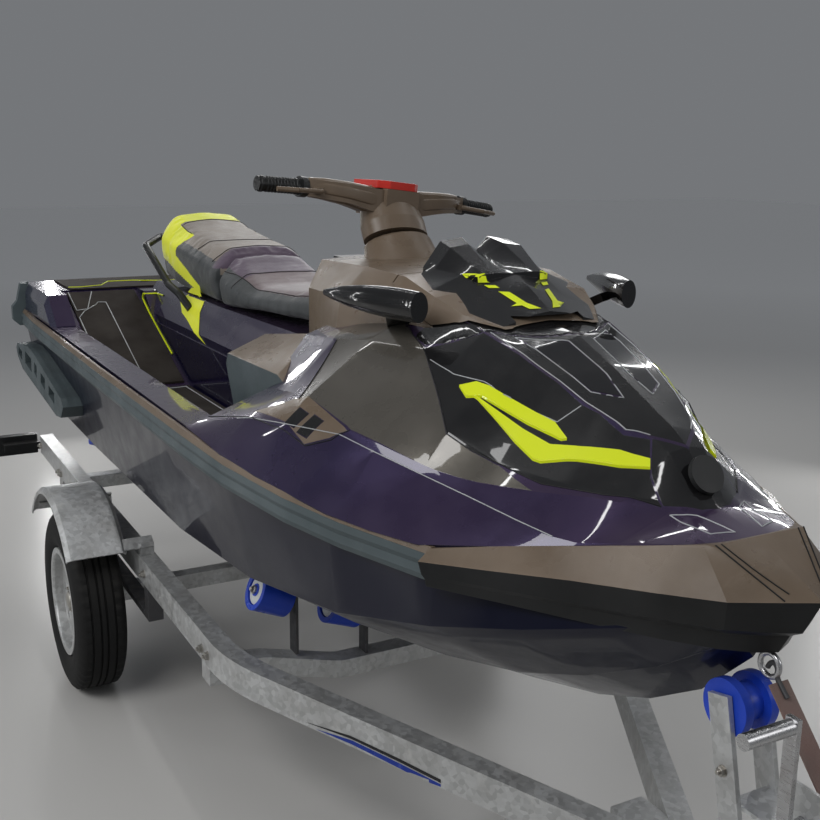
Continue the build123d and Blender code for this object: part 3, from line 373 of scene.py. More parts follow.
def vinyl(name, color, sheen=0.2):
    """Marine upholstery: pebbled skin over foam, slightly silky."""
    material, tree, shader = start_material(name, sheen=sheen, sheen_roughness=0.4, specular=0.4)
    clouds = ramp(tree, noise(tree, 6.0, 5.0), 0.3, 0.75)
    mixed = blend_colors(tree, clouds, color, toned(color, 1.3, 0.01))
    mixed = add_wear(tree, mixed, toned(color, 2.0, 0.05), 0.006, 0.15)
    mixed = add_dust(tree, mixed, "vinyl", 0.15)
    join(tree, mixed, shader.inputs["Base Color"])
    join(tree, ramp(tree, noise(tree, 30.0), 0.3, 0.7, 0.42, 0.6), shader.inputs["Roughness"])
    bump(tree, shader, effect(tree, "grain", Scale=420.0), 0.0005, 0.55)
    return material


def webbing(name, color):
    """Woven strap, stained in patches."""
    material, tree, shader = start_material(name, roughness=0.85, sheen=0.3)
    threads = effect(tree, "weave", Scale=260.0)
    mixed = blend_colors(tree, threads, toned(color, 0.5), color)
    mixed = blend_colors(tree, ramp(tree, noise(tree, 10.0), 0.4, 0.7, 0.0, 0.5), mixed, WEBBING_STAIN)
    join(tree, mixed, shader.inputs["Base Color"])
    bump(tree, shader, threads, 0.0006, 0.8)
    return material


def lens_plastic(name, color):
    """Ribbed lamp lens."""
    material, tree, shader = start_material(name, transmission=0.35, roughness=0.12, ior=1.49)
    wave = add_node(tree, "ShaderNodeTexWave", {"Scale": 40.0}, wave_type="BANDS", bands_direction="Z")
    join(tree, object_place(tree), wave.inputs["Vector"])
    mixed = blend_colors(tree, wave.outputs["Fac"], toned(color, 0.6), color)
    mixed = add_dust(tree, mixed, "lens", 0.3)
    join(tree, mixed, shader.inputs["Base Color"])
    bump(tree, shader, wave.outputs["Fac"], 0.001, 0.5)
    return material


# Finishes by name. Columns: what makes it, its main colour, then the maker's other values in order; for
# paint the first of these is the painted sheen colour of faces that look up
FINISHES = {
    "hull_gloss": (paint, (0.003, 0.004, 0.016), (0.008, 0.007, 0.026), 0.2, 0.35, 0.5),
    "deck_gloss": (paint, (0.004, 0.005, 0.036), (0.042, 0.023, 0.062), 0.35, 0.30),
    "panel_grey": (paint, (0.088, 0.080, 0.068), (0.105, 0.096, 0.082), 0.4, 0.30),
    "black_gloss": (paint, (0.004, 0.004, 0.0045), (0.010, 0.010, 0.011), 0.0, 0.25),
    "taupe_plastic": (plastic, (0.125, 0.092, 0.064), 0.34),
    "black_plastic": (plastic, (0.006, 0.0065, 0.007), 0.42),
    "teal_grey": (plastic, (0.060, 0.078, 0.084), 0.5),
    "lime": (paint, (0.70, 0.80, 0.005), (0.76, 0.86, 0.02), 0.0, 0.35, 0.5, 0.02),
    "red": (plastic, (0.45, 0.02, 0.012), 0.4),
    "seat_plum": (vinyl, (0.075, 0.050, 0.080), 0.5),
    "seat_grey": (vinyl, (0.190, 0.160, 0.132)),
    "seat_lime": (vinyl, (0.74, 0.80, 0.006)),
    "mat": (rubber, (0.020, 0.015, 0.012), 0.8, 0.10, 30.0),
    "galvanised": (galvanised, (0.60, 0.61, 0.61)),
    "steel": (metal, (0.55, 0.55, 0.56), 0.3),
    "alloy": (metal, (0.42, 0.43, 0.44), 0.45, (1.0, 1.0, 1.0)),
    "iron": (metal, (0.10, 0.10, 0.105), 0.6, (1.0, 1.0, 1.0), 0.25, 0.7),
    "tyre": (rubber, (0.012, 0.012, 0.012)),
    "blue_roller": (plastic, (0.008, 0.045, 0.42), 0.35, 500.0),
    "webbing": (webbing, (0.22, 0.12, 0.10)),
    "lamp": (lens_plastic, (0.55, 0.015, 0.012)),
    "seat_teal": (vinyl, (0.040, 0.045, 0.047)),
    "seat_rose": (vinyl, (0.135, 0.100, 0.105), 0.4),
    # pale_line serves the painted highlight lines on the skin and the borders of the mats
    "pale_line": (plastic, (0.36, 0.37, 0.38), 0.3, 900.0, 0.0001, 0.05, 0.0),
    "shadow_line": (plastic, (0.006, 0.006, 0.007), 0.5, 900.0, 0.0001, 0.0, 0.0),
    "seam": (plastic, (0.030, 0.026, 0.028), 0.6, 900.0, 0.0001, 0.05, 0.0),
    "lime_line": (plastic, (0.62, 0.72, 0.004), 0.35, 900.0, 0.0001, 0.05, 0.0),
    "black_glass": (paint, (0.004, 0.004, 0.005), (0.008, 0.008, 0.010), 0.0, 0.12),
    "pale_plastic": (plastic, (0.55, 0.57, 0.58), 0.4),
    "stripe_blue": (plastic, (0.008, 0.030, 0.25), 0.35),
    "stripe_black": (plastic, (0.010, 0.010, 0.012), 0.35),
    "nut": (metal, (0.50, 0.48, 0.44), 0.4, (1.0, 1.0, 1.0)),
}


def material(name):
    """A finish by name, made when it is first asked for, in the colour that the user picked."""
    found = bpy.data.materials.get("finish_" + name)
    if found:
        return found
    make, color, *values = FINISHES[name]
    picked = getattr(bpy.context.scene.craft_colors, name, color)
    return make(name, tuple(picked), *values)


# Mesh helpers

def smooth_group():
    """A geometry node group that shades smooth except across sharp edges."""
    group = bpy.data.node_groups.get("smooth_below_angle")
    if group:
        return group
    group = bpy.data.node_groups.new("smooth_below_angle", "GeometryNodeTree")
    group.interface.new_socket(name="Geometry", in_out="INPUT", socket_type="NodeSocketGeometry")
    group.interface.new_socket(name="Angle", in_out="INPUT", socket_type="NodeSocketFloat")
    group.interface.new_socket(name="Geometry", in_out="OUTPUT", socket_type="NodeSocketGeometry")
    entry = group.nodes.new("NodeGroupInput")
    leave = group.nodes.new("NodeGroupOutput")
    angle = group.nodes.new("GeometryNodeInputMeshEdgeAngle")
    compare = add_node(group, "FunctionNodeCompare", data_type="FLOAT", operation="LESS_THAN")
    faces = add_node(group, "GeometryNodeSetShadeSmooth", domain="FACE")
    edges = add_node(group, "GeometryNodeSetShadeSmooth", domain="EDGE")
    join(group, angle.outputs["Unsigned Angle"], compare.inputs["A"])
    join(group, entry.outputs["Angle"], compare.inputs["B"])
    join(group, entry.outputs["Geometry"], faces.inputs["Geometry"])
    join(group, faces.outputs["Geometry"], edges.inputs["Geometry"])
    join(group, compare.outputs["Result"], edges.inputs["Shade Smooth"])
    join(group, edges.outputs["Geometry"], leave.inputs["Geometry"])
    return group


# Skin panels whose shallow creases stay crisp
CRISP_NODES = ("deck", "side_panels", "fairings", "hood", "side_vents", "nose_cap", "visor", "console",
               "storage_cover", "lime_trims", "bow_bumper_top", "bow_bumper_base")
CRISP_ANGLE = 11.0
SOFT_ANGLE = 30.0
BEVEL_SEGMENTS = 2
FLAT_FACE_WEIGHT = 80


def shade_by_angle(piece, degrees):
    """Shades a piece smooth except across edges that turn by more than an angle."""
    shade = piece.modifiers.new("smooth", "NODES")
    shade.node_group = smooth_group()
    # Socket_1 is the group's Angle input
    shade["Socket_1"] = math.radians(degrees)


def soften(piece, width, angle=SOFT_ANGLE):
    """Rounds a hard piece's edges and smooths its shallow creases, by modifiers only."""
    weld = piece.modifiers.new("weld", "WELD")
    weld.merge_threshold = 0.00002
    if width > 0:
        bevel = piece.modifiers.new("bevel", "BEVEL")
        bevel.width = width
        bevel.segments = BEVEL_SEGMENTS
        bevel.limit_method = "ANGLE"
        bevel.angle_limit = math.radians(angle)
    shade_by_angle(piece, angle)
    flat = piece.modifiers.new("flat_faces", "WEIGHTED_NORMAL")
    flat.keep_sharp = True
    flat.weight = FLAT_FACE_WEIGHT


def dress(node, slot, width, angle):
    """Gives a carried CAD node its finish and rounded edges."""
    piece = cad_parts[node]
    piece.data.materials.clear()
    piece.data.materials.append(material(slot))
    soften(piece, width, angle)


def add_second_finish(node, finish, chosen):
    """Gives the faces whose normal is chosen a second finish."""
    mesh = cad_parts[node].data
    mesh.materials.append(material(finish))
    for face in mesh.polygons:
        face.material_index = 1 if chosen(face.normal) else 0


# CAD nodes that are carried as they are. Columns: node, finish, edge radius in metres
CARRIED = (
    ("hull", "hull_gloss", 0.004), ("deck", "deck_gloss", 0.003), ("side_panels", "panel_grey", 0.0025),
    ("fairings", "black_gloss", 0.002), ("side_vents", "taupe_plastic", 0.002),
    ("hood", "black_gloss", 0.002), ("nose_cap", "black_gloss", 0.002), ("lime_trims", "lime", 0.002),
    ("nose_disc", "black_plastic", 0.001), ("rub_rails", "teal_grey", 0.002),
    ("rub_trims", "taupe_plastic", 0.001), ("bow_bumper_top", "taupe_plastic", 0.002),
    ("bow_bumper_base", "black_plastic", 0.003), ("console", "taupe_plastic", 0.003),
    ("glove_lid", "black_plastic", 0.0015), ("storage_cover", "taupe_plastic", 0.002),
    ("visor", "black_gloss", 0.002), ("mirrors", "black_gloss", 0.003),
    ("steering_column", "taupe_plastic", 0.003), ("handlebar", "taupe_plastic", 0.003),
    ("red_pad", "red", 0.002), ("grips", "black_plastic", 0.002),
    ("grab_handle", "black_plastic", 0.002), ("knee_pads", "teal_grey", 0.004), ("mats", "mat", 0.001),
    ("sponsons", "teal_grey", 0.003), ("jet_pump", "alloy", 0.001),
    ("ride_plate", "black_plastic", 0.001), ("impeller", "steel", 0.0), ("nozzle", "alloy", 0.001),
    ("reverse_bucket", "black_plastic", 0.002), ("ladder", "black_plastic", 0.002),
    ("hull_fittings", "steel", 0.0), ("rail_left", "galvanised", 0.003),
    ("rail_right", "galvanised", 0.003), ("drawbar", "galvanised", 0.003),
    ("crossmembers", "galvanised", 0.003), ("axle", "galvanised", 0.002), ("springs", "iron", 0.001),
    ("rim_left", "galvanised", 0.002), ("rim_right", "galvanised", 0.002),
    ("mudguards", "galvanised", 0.001), ("rollers", "blue_roller", 0.004),
    ("roller_brackets", "iron", 0.001), ("winch_post", "galvanised", 0.001),
    ("winch_drum", "steel", 0.001), ("winch_strap", "webbing", 0.0005), ("coupling", "iron", 0.003),
    ("jack_tube", "galvanised", 0.001), ("jack_leg", "steel", 0.001),
    ("jockey_fork", "galvanised", 0.001), ("jockey_wheel", "tyre", 0.006),
    ("tail_lamps", "lamp", 0.004), ("engine", "iron", 0.0),
)

# Second finishes: the lamps' dark cases, and the knee pads' tops in taupe, a painted reflection. Columns:
# node, finish, chosen normals
SECOND_FINISHES = (
    ("tail_lamps", "black_plastic", lambda normal: normal.x > -0.5),
    # A painted reflection: taupe on the knee pads' faces that look up
    ("knee_pads", "taupe_plastic", lambda normal: normal.z > 0.6),
)


def new_object(name, mesh, finish, body=ROOT, smooth=True):
    """A piece in one finish that rides on a body."""
    mesh.materials.append(material(finish))
    if smooth:
        mesh.shade_smooth()
    piece = bpy.data.objects.new(name, mesh)
    bpy.context.scene.collection.objects.link(piece)
    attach(piece, body)
    return piece


def finish_bmesh(bm, name, finish, body=ROOT, smooth=False):
    """Turns a bmesh into a piece."""
    bmesh.ops.recalc_face_normals(bm, faces=bm.faces[:])
    mesh = bpy.data.meshes.new(name)
    bm.to_mesh(mesh)
    bm.free()
    return new_object(name, mesh, finish, body, smooth)


def start_curve(name, radius, resolution):
    """A round rod along a path that is still to be given."""
    curve = bpy.data.curves.new(name, "CURVE")
    curve.dimensions = "3D"
    curve.bevel_depth = radius
    curve.bevel_resolution = resolution
    return curve


def finish_curve(curve, name, finish):
    """Turns a curve into a piece of mesh."""
    holder = bpy.data.objects.new(name + "_path", curve)
    mesh = bpy.data.meshes.new_from_object(holder)
    bpy.data.objects.remove(holder)
    mesh.name = name
    return new_object(name, mesh, finish)


def surface(nodes, extra=()):
    """A search tree over the meshes of several CAD nodes and other pieces."""
    points, faces = [], []
    for mesh in [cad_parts[node].data for node in nodes] + [piece.data for piece in extra]:
        start = len(points)
        points += [vertex.co.copy() for vertex in mesh.vertices]
        faces += [[start + index for index in face.vertices] for face in mesh.polygons]
    return BVHTree.FromPolygons(points, faces)


# Which way an outline is looked at: the ray's direction, and how its two numbers make a point
LOOKS = {
    "down": (Vector((0, 0, -1)), lambda u, v: station(u, v, 0)),
    "port": (Vector((0, 1, 0)), lambda u, v: station(u, 0, v)),
    "starboard": (Vector((0, -1, 0)), lambda u, v: station(u, 0, v)),
}
# How far back a ray starts
RAY_REACH = 3.0
# How high a mark and a skin lie, and how high a line's middle lies as a share of its radius
MARK_LIFT = 0.0012
SKIN_LIFT = 0.0006
LINE_LIFT = 0.3
# How finely a skin and a line follow the surface
PATCH_CELL = 0.008
LINE_STEP = 0.007


def drop(tree, look, u, v, reach):
    """Where a ray from reach metres back meets the surface and the outward normal there, or None."""
    along, make_point = LOOKS[look]
    place, normal, _, _ = tree.ray_cast(make_point(u, v) - along * reach, along)
    if place is None:
        return None
    return place, (-normal if normal.dot(along) > 0 else normal)


def cut_grid(bm, outline):
    """Cuts a flat outline along a grid, so that it can follow a curved skin."""
    for axis in (0, 1):
        low, high = min(point[axis] for point in outline), max(point[axis] for point in outline)
        normal = Vector((1 - axis, axis, 0))
        for i in range(1, int((high - low) / PATCH_CELL) + 1):
            bmesh.ops.bisect_plane(bm, geom=bm.verts[:] + bm.edges[:] + bm.faces[:],
                                   plane_co=normal * (low + i * PATCH_CELL), plane_no=normal)


def make_patch(name, look, outline, tree, finish, body=ROOT, lift=MARK_LIFT, reach=RAY_REACH):
    """A thin skin inside an outline, laid on a surface."""
    bm = bmesh.new()
    bm.faces.new([bm.verts.new((u, v, 0)) for u, v in outline])
    bmesh.ops.triangulate(bm, faces=bm.faces[:])
    cut_grid(bm, outline)
    lost = []
    for vert in bm.verts:
        found = drop(tree, look, vert.co.x, vert.co.y, reach)
        if found:
            vert.co = found[0] + found[1] * lift
        else:
            lost.append(vert)
    bmesh.ops.delete(bm, geom=lost, context="VERTS")
    if not bm.faces:
        bm.free()
        raise RuntimeError(f"the patch {name} lies on nothing")
    finish_bmesh(bm, name, finish, body, smooth=True)


def spread(points):
    """Points a short step apart along an outline, its own corners among them."""
    for (u0, v0), (u1, v1) in zip(points, points[1:]):
        count = max(1, int(math.hypot(u1 - u0, v1 - v0) / LINE_STEP))
        for i in range(count):
            yield u0 + (u1 - u0) * i / count, v0 + (v1 - v0) * i / count
    yield points[-1]


def make_lines(name, lines, finish, radius, reach=RAY_REACH):
    """Fine round lines laid along a surface. Columns of lines: look, tree, points."""
    curve = start_curve(name, radius, 1)
    for look, tree, points in lines:
        found = [drop(tree, look, u, v, reach) for u, v in spread(points)]
        places = [place + normal * radius * LINE_LIFT for place, normal in filter(None, found)]
        if len(places) < 2:
            raise RuntimeError(f"a line of {name} lies on nothing")
        spline = curve.splines.new("POLY")
        spline.points.add(len(places) - 1)
        for point, place in zip(spline.points, places):
            point.co = (*place, 1.0)
    finish_curve(curve, name, finish)


def both(points):
    """An outline and its mirror image to starboard."""
    return (points, tuple((x, -y) for x, y in points))


def both_sides(points):
    """The two outlines with the names of their sides."""
    return zip(("port", "starboard"), both(points))


def seen_from_above(tree, outlines):
    """Lines of both sides for make_lines, all on one surface."""
    return [("down", tree, side) for outline in outlines for side in both(outline)]


# Seats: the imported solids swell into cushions, then get their panels and piping
SEAT_VOXEL = 0.0085
SEAT_RELAX_ROUNDS = 12
SEAT_PRESSURE = 4.0
CLOTH_FRAMES = 20


def swell(name, node):
    """A cushion: the node's mesh, remeshed fine and blown up a little as cloth."""
    sizes = bpy.context.scene.craft_sizes
    piece = bpy.data.objects.new(name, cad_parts[node].data.copy())
    bpy.context.scene.collection.objects.link(piece)
    piece.data.materials.clear()
    weld = piece.modifiers.new("weld", "WELD")
    weld.merge_threshold = 0.0001
    remesh = piece.modifiers.new("remesh", "REMESH")
    remesh.mode = "VOXEL"
    remesh.voxel_size = SEAT_VOXEL
    relax = piece.modifiers.new("relax", "CORRECTIVE_SMOOTH")
    relax.factor = 0.6
    relax.iterations = SEAT_RELAX_ROUNDS
    relax.use_only_smooth = True
    freeze(piece)
    bpy.context.view_layer.update()
    for vertex in piece.data.vertices:
        vertex.co -= vertex.normal * sizes.cushion_shrink
    inflate(piece, sizes.cushion_swell)
    return piece


def inflate(piece, most):
    """Blows a closed cover up as cloth; no point moves farther than most."""
    before = [vertex.co.copy() for vertex in piece.data.vertices]
    cloth = piece.modifiers.new("cloth", "CLOTH")
    cloth.settings.use_pressure = True
    cloth.settings.uniform_pressure_force = SEAT_PRESSURE
    cloth.settings.effector_weights.gravity = 0.0
    cloth.settings.quality = 4
    cloth.point_cache.frame_start, cloth.point_cache.frame_end = 1, CLOTH_FRAMES
    for number in range(1, CLOTH_FRAMES + 1):
        bpy.context.scene.frame_set(number)
    freeze(piece)
    bpy.context.scene.frame_set(1)
    for vertex, old in zip(piece.data.vertices, before):
        move = vertex.co - old
        if move.length > most:
            vertex.co = old + move.normalized() * most


def freeze(piece):
    """Applies every modifier of a piece to its mesh."""
    context = bpy.context.evaluated_depsgraph_get()
    mesh = bpy.data.meshes.new_from_object(piece.evaluated_get(context))
    piece.modifiers.clear()
    old = piece.data
    piece.data = mesh
    bpy.data.meshes.remove(old)


def rear_zone(x, y, z):
    """Finish of the rear seat: a lime arch with a leg down each side, a plum front and a grey middle."""
    lime_from = 1.243 - 0.208 * (x - 0.546)
    leg_top = 1.282 - 0.351 * (x - 0.661)
    arch_front = 0.765 - max(0.0, y - 0.08)
    in_back = x < 0.56
    in_arch = y > 0.118 and x < arch_front
    in_leg = y > 0.15 and x < 0.91 and z < leg_top
    if z > lime_from and (in_back or in_arch or in_leg):
        return "seat_lime"
    if x > 1.045 and z > 1.27:
        return "seat_plum"
    return "seat_grey" if y < 0.150 and z > 1.25 else "seat_teal"


def front_zone(x, y, z):
    """Finish of the front seat: a plum crest, a rosy middle and dark sides."""
    top_edge = 0.135 - 0.10 * max(0.0, x - 1.20)
    if y > top_edge or z < 1.19:
        return "seat_teal"
    return "seat_plum" if x < 1.255 else "seat_rose"


# Piping on the seats, seen from above. Columns: x, y
REAR_PIPING = (
    ((0.560, 0.0), (0.566, 0.060), (0.580, 0.118), (0.700, 0.120)),
    ((1.045, 0.0), (1.043, 0.080), (1.036, 0.130), (1.020, 0.155)),
    ((0.890, 0.0), (0.884, 0.080), (0.870, 0.120), (0.850, 0.148)),
)
FRONT_PIPING = (
    ((1.255, 0.0), (1.252, 0.080), (1.240, 0.130), (1.228, 0.165)),
    ((1.122, 0.150), (1.200, 0.136), (1.300, 0.124), (1.500, 0.102), (1.780, 0.074)),
)
# Seats. Columns: name, node, finishes, zone of a point, piping
SEATS = (
    ("cushion_rear", "seat_rear", ("seat_grey", "seat_lime", "seat_teal", "seat_plum"), rear_zone,
     REAR_PIPING),
    ("cushion_front", "seat_front", ("seat_plum", "seat_teal", "seat_rose"), front_zone, FRONT_PIPING),
)
PIPING_RADIUS = 0.0018


def make_cushion(name, node, finishes, zone):
    """A swollen cushion within its node's box, in its panels' finishes."""
    piece = swell(name, node)
    smooth = piece.modifiers.new("subdivide", "SUBSURF")
    smooth.levels = smooth.render_levels = 1
    freeze(piece)
    low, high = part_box(node)
    for vertex in piece.data.vertices:
        for axis in range(3):
            vertex.co[axis] = min(max(vertex.co[axis], low[axis]), high[axis])
    for finish in finishes:
        piece.data.materials.append(material(finish))
    for face in piece.data.polygons:
        place = face.center
        face.material_index = finishes.index(zone(place.x - STERN_X, abs(place.y), place.z))
    piece.data.shade_smooth()
    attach(piece, ROOT)
    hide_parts(node)
    return piece


# Tyre section. Columns: distance from the middle plane, radius, all in metres
TYRE_SECTION = (
    (0.056, 0.168), (0.066, 0.176), (0.072, 0.196), (0.0745, 0.214), (0.0725, 0.222), (0.0740, 0.232),
    (0.0705, 0.250), (0.0640, 0.2655), (0.0560, 0.2740), (0.0500, 0.2758), (0.0375, 0.2768),
    (0.0365, 0.2700), (0.0315, 0.2700), (0.0305, 0.2768), (0.0125, 0.2770), (0.0115, 0.2700),
    (0.0065, 0.2700), (0.0055, 0.2770),
)
WHEEL_PLACE = {"left": (1.218, 0.670, 0.277), "right": (1.218, -0.670, 0.277)}
TYRE_STEPS = 144
TYRE_CREASE = 35
# Cuts across a tyre's shoulders: one every few steps, between two distances from the middle plane
CUT_EVERY = 3
CUT_FROM, CUT_TO = 0.0370, 0.0650
CUT_ABOVE = 0.26


def bridge(bm, rings):
    """Faces between rings that have the same number of vertices."""
    for low, high in zip(rings, rings[1:]):
        for i in range(len(low)):
            after = (i + 1) % len(low)
            bm.faces.new((low[i], low[after], high[after], high[i]))


def make_tyre(side):
    """A tyre with ribs, grooves between them and cuts across its shoulders."""
    centre = station(*WHEEL_PLACE[side])
    cut = bpy.context.scene.craft_sizes.tread_cut
    section = TYRE_SECTION + tuple((-y, radius) for y, radius in reversed(TYRE_SECTION))
    bm = bmesh.new()
    rings = []
    for step in range(TYRE_STEPS):
        angle = 2 * math.pi * step / TYRE_STEPS
        ring = []
        for y, radius in section:
            if step % CUT_EVERY == 0 and CUT_FROM < abs(y) < CUT_TO and radius > CUT_ABOVE:
                radius -= cut
            place = Vector((radius * math.cos(angle), y, radius * math.sin(angle)))
            ring.append(bm.verts.new(centre + place))
        rings.append(ring)
    bridge(bm, rings + rings[:1])
    tyre = finish_bmesh(bm, "tyre_tread_" + side, "tyre", "wheel_" + side)
    shade_by_angle(tyre, TYRE_CREASE)
    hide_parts("tyre_" + side)


def add_ring(bm, centre, first, second, sides, shift=0.0):
    """A ring of vertices on an oval, given by its two half axes; shift is a share of a step."""
    turns = [2 * math.pi * (i + shift) / sides for i in range(sides)]
    return [bm.verts.new(centre + math.cos(turn) * first + math.sin(turn) * second) for turn in turns]


def add_turned(bm, start, axis, profile, sides):
    """A turned solid: rings along an axis. Profile columns: distance, radius."""
    first = axis.orthogonal().normalized()
    second = axis.cross(first).normalized()
    rings = [add_ring(bm, start + axis * distance, radius * first, radius * second, sides)
             for distance, radius in profile]
    bridge(bm, rings)
    bm.faces.new(list(reversed(rings[0])))
    bm.faces.new(rings[-1])


def add_bolt(bm, place, axis, size):
    """A washer, a chamfered hexagon nut and the end of its bolt."""
    washer = ((0, size * 1.2), (size * 0.25, size * 1.2))
    nut = ((0, size), (size * 0.85, size), (size * 1.0, size * 0.86))
    end = ((0, size * 0.5), (size * 1.5, size * 0.5), (size * 1.6, size * 0.42))
    add_turned(bm, place - axis * 0.001, axis, washer, 16)
    add_turned(bm, place, axis, nut, 6)
    add_turned(bm, place, axis, end, 12)


# Hub cap. Columns: distance outward, radius
HUB_CAP = ((0, 0.032), (0.026, 0.031), (0.036, 0.027), (0.040, 0.018), (0.041, 0.004))
HUB_CAP_START = 0.012
WHEEL_NUTS = 5
FIRST_NUT_TURN = 18
NUT_CIRCLE = 0.057
NUT_SEAT = 0.0265
WHEEL_NUT_SIZE = 0.010


def make_wheel_nuts(side, sign):
    """A hub cap inside its circle of wheel nuts."""
    bm = bmesh.new()
    x, y, z = WHEEL_PLACE[side]
    out = Vector((0, sign, 0))
    add_turned(bm, station(x, y + sign * HUB_CAP_START, z), out, HUB_CAP, 24)
    for i in range(WHEEL_NUTS):
        turn = math.radians(FIRST_NUT_TURN + 360 / WHEEL_NUTS * i)
        across, up = NUT_CIRCLE * math.cos(turn), NUT_CIRCLE * math.sin(turn)
        add_bolt(bm, station(x + across, y + sign * NUT_SEAT, z + up), out, WHEEL_NUT_SIZE)
    finish_bmesh(bm, "wheel_nuts_" + side, "nut", "wheel_" + side)


# Graphics, seams, painted highlights and painted shade
SKIN_NODES = ("deck", "side_panels", "fairings", "hood", "side_vents", "nose_cap", "lime_trims",
              "bow_bumper_top")
# Painted highlights: pale lines along creases and edges on the port half of the skin, seen from above.
# Columns: x, y
HIGHLIGHT_LINES = (
    ((2.704, 0.146), (2.840, 0.128), (2.964, 0.105), (3.045, 0.076), (3.076, 0.047)),
    ((2.740, 0.112), (2.806, 0.030), (2.920, 0.024), (2.984, 0.034), (2.947, 0.081), (2.740, 0.112)),
    ((2.648, 0.250), (2.716, 0.236), (2.782, 0.207), (2.834, 0.196), (2.944, 0.152), (2.963, 0.114)),
    ((2.300, 0.533), (2.480, 0.493), (2.620, 0.437), (2.700, 0.401), (2.800, 0.354), (2.900, 0.315),
     (3.000, 0.278), (3.080, 0.252)),
    ((3.180, 0.085), (3.262, 0.070), (3.276, 0.030), (3.205, 0.048), (3.180, 0.085)),
)
# Painted shadow lines along seams and ridges in the port half of the skin, seen from above. Columns: x, y
SHADOW_LINES = (
    ((2.614, 0.247), (2.650, 0.255), (2.729, 0.276), (2.800, 0.298), (2.847, 0.277), (2.903, 0.245),
     (2.991, 0.216), (3.086, 0.155), (3.160, 0.087)),
    ((2.446, 0.448), (2.367, 0.325)),
    ((3.302, 0.098), (3.350, 0.075), (3.406, 0.048)),
    ((3.302, 0.086), (3.350, 0.063), (3.402, 0.036)),
    ((2.470, 0.215), (2.553, 0.239), (2.611, 0.246)),
    ((2.120, 0.555), (2.450, 0.506), (2.560, 0.484), (2.610, 0.450), (2.632, 0.421)),
)
# Bordered panels of the port mats, seen from above. Columns: x, y
MAT_PANELS = (
    ((0.348, 0.494), (0.350, 0.404), (0.484, 0.452), (0.490, 0.492)),
    ((0.538, 0.494), (0.497, 0.466), (0.457, 0.416), (0.440, 0.404), (0.444, 0.376), (0.962, 0.376),
     (0.962, 0.430), (0.830, 0.466), (0.670, 0.494)),
    ((1.030, 0.262), (1.720, 0.262), (1.700, 0.480), (1.050, 0.488)),
)
# Port half of the hood's windows, seen from above. Columns: x, y
HOOD_GLASS = ((2.742, 0.108), (2.808, 0.033), (2.918, 0.027), (2.978, 0.036), (2.944, 0.078),
              (2.860, 0.092))
# Port half of the painted shade below the cowl, seen from above. Columns: x, y
COWL_SHADE = ((2.560, 0.255), (2.600, 0.245), (2.655, 0.205), (2.700, 0.150), (2.744, 0.110),
              (2.790, 0.050), (2.790, 0.0), (2.660, 0.0), (2.640, 0.120), (2.560, 0.180))
# Port half of the line on the stern's mat, seen from above. Columns: x, y
STERN_LINE = ((0.292, 0.478), (0.300, 0.430), (0.270, 0.351), (0.160, 0.300), (0.160, 0.205),
              (0.205, 0.111), (0.205, 0.0))
# Marks on the port half of the cowl, seen from above. Columns: x, y
COWL_DASHES = (
    ((2.520, 0.103), (2.550, 0.083), (2.560, 0.077), (2.534, 0.102)),
    ((2.547, 0.096), (2.558, 0.070), (2.568, 0.064), (2.560, 0.089)),
    ((2.571, 0.080), (2.581, 0.058), (2.593, 0.055), (2.583, 0.076)),
    ((2.601, 0.064), (2.614, 0.045), (2.660, 0.032), (2.688, 0.014), (2.680, 0.038), (2.663, 0.045),
     (2.655, 0.066), (2.652, 0.051)),
)
# Painted shade in the slots of the port side vent, seen from above. Columns: x, y
VENT_SLOT_SHADE = (
    ((2.474, 0.493), (2.484, 0.463), (2.516, 0.457), (2.506, 0.485)),
    ((2.519, 0.485), (2.531, 0.451), (2.563, 0.445), (2.551, 0.477)),
)
# Dark skins with their mirror images: the hood's windows, and painted shade in the vents' slots and below
# the cowl. Columns: name for a side, outline, finish
DARK_SKINS = (("hood_glass_{}", HOOD_GLASS, "black_glass"), ("vent_{}_0", VENT_SLOT_SHADE[0], "black_gloss"),
              ("vent_{}_1", VENT_SLOT_SHADE[1], "black_gloss"), ("cowl_apron_{}", COWL_SHADE, "black_gloss"))
# Lime patch below the rear seat, seen from the side. Columns: x, z
SEAT_FLANK = ((0.740, 1.130), (0.870, 1.186), (0.945, 1.194), (0.965, 1.150), (0.985, 1.115),
              (1.085, 1.062), (1.165, 1.037), (1.085, 1.050), (0.930, 1.080), (0.830, 1.096))
# Lime line on the pedestal, seen from the side. Columns: x, z
PEDESTAL_LINE = ((0.560, 1.122), (0.452, 1.120), (0.440, 1.100), (0.520, 1.060), (0.640, 1.010),
                 (0.800, 0.948))
# A ray that starts this far out, inside the footwell, meets the pedestal and not the gunwale
INSIDE_WELL = 0.32
# Stripes on the starboard rail, seen from the side. Columns: finish, then an outline of x, z
RAIL_STRIPES = (
    ("stripe_black", ((2.440, 0.399), (2.556, 0.399), (2.670, 0.386), (2.760, 0.373), (2.760, 0.381),
                      (2.670, 0.394), (2.556, 0.406))),
    ("stripe_blue", ((2.470, 0.391), (2.560, 0.386), (2.670, 0.371), (2.760, 0.356), (2.760, 0.370),
                     (2.670, 0.383), (2.560, 0.396))),
)
# Line radii in metres
HIGHLIGHT_LINE_RADIUS = 0.0011
SHADOW_LINE_RADIUS = 0.0013
MAT_RADIUS = 0.0018
STERN_RADIUS = 0.0022
PEDESTAL_RADIUS = 0.0032


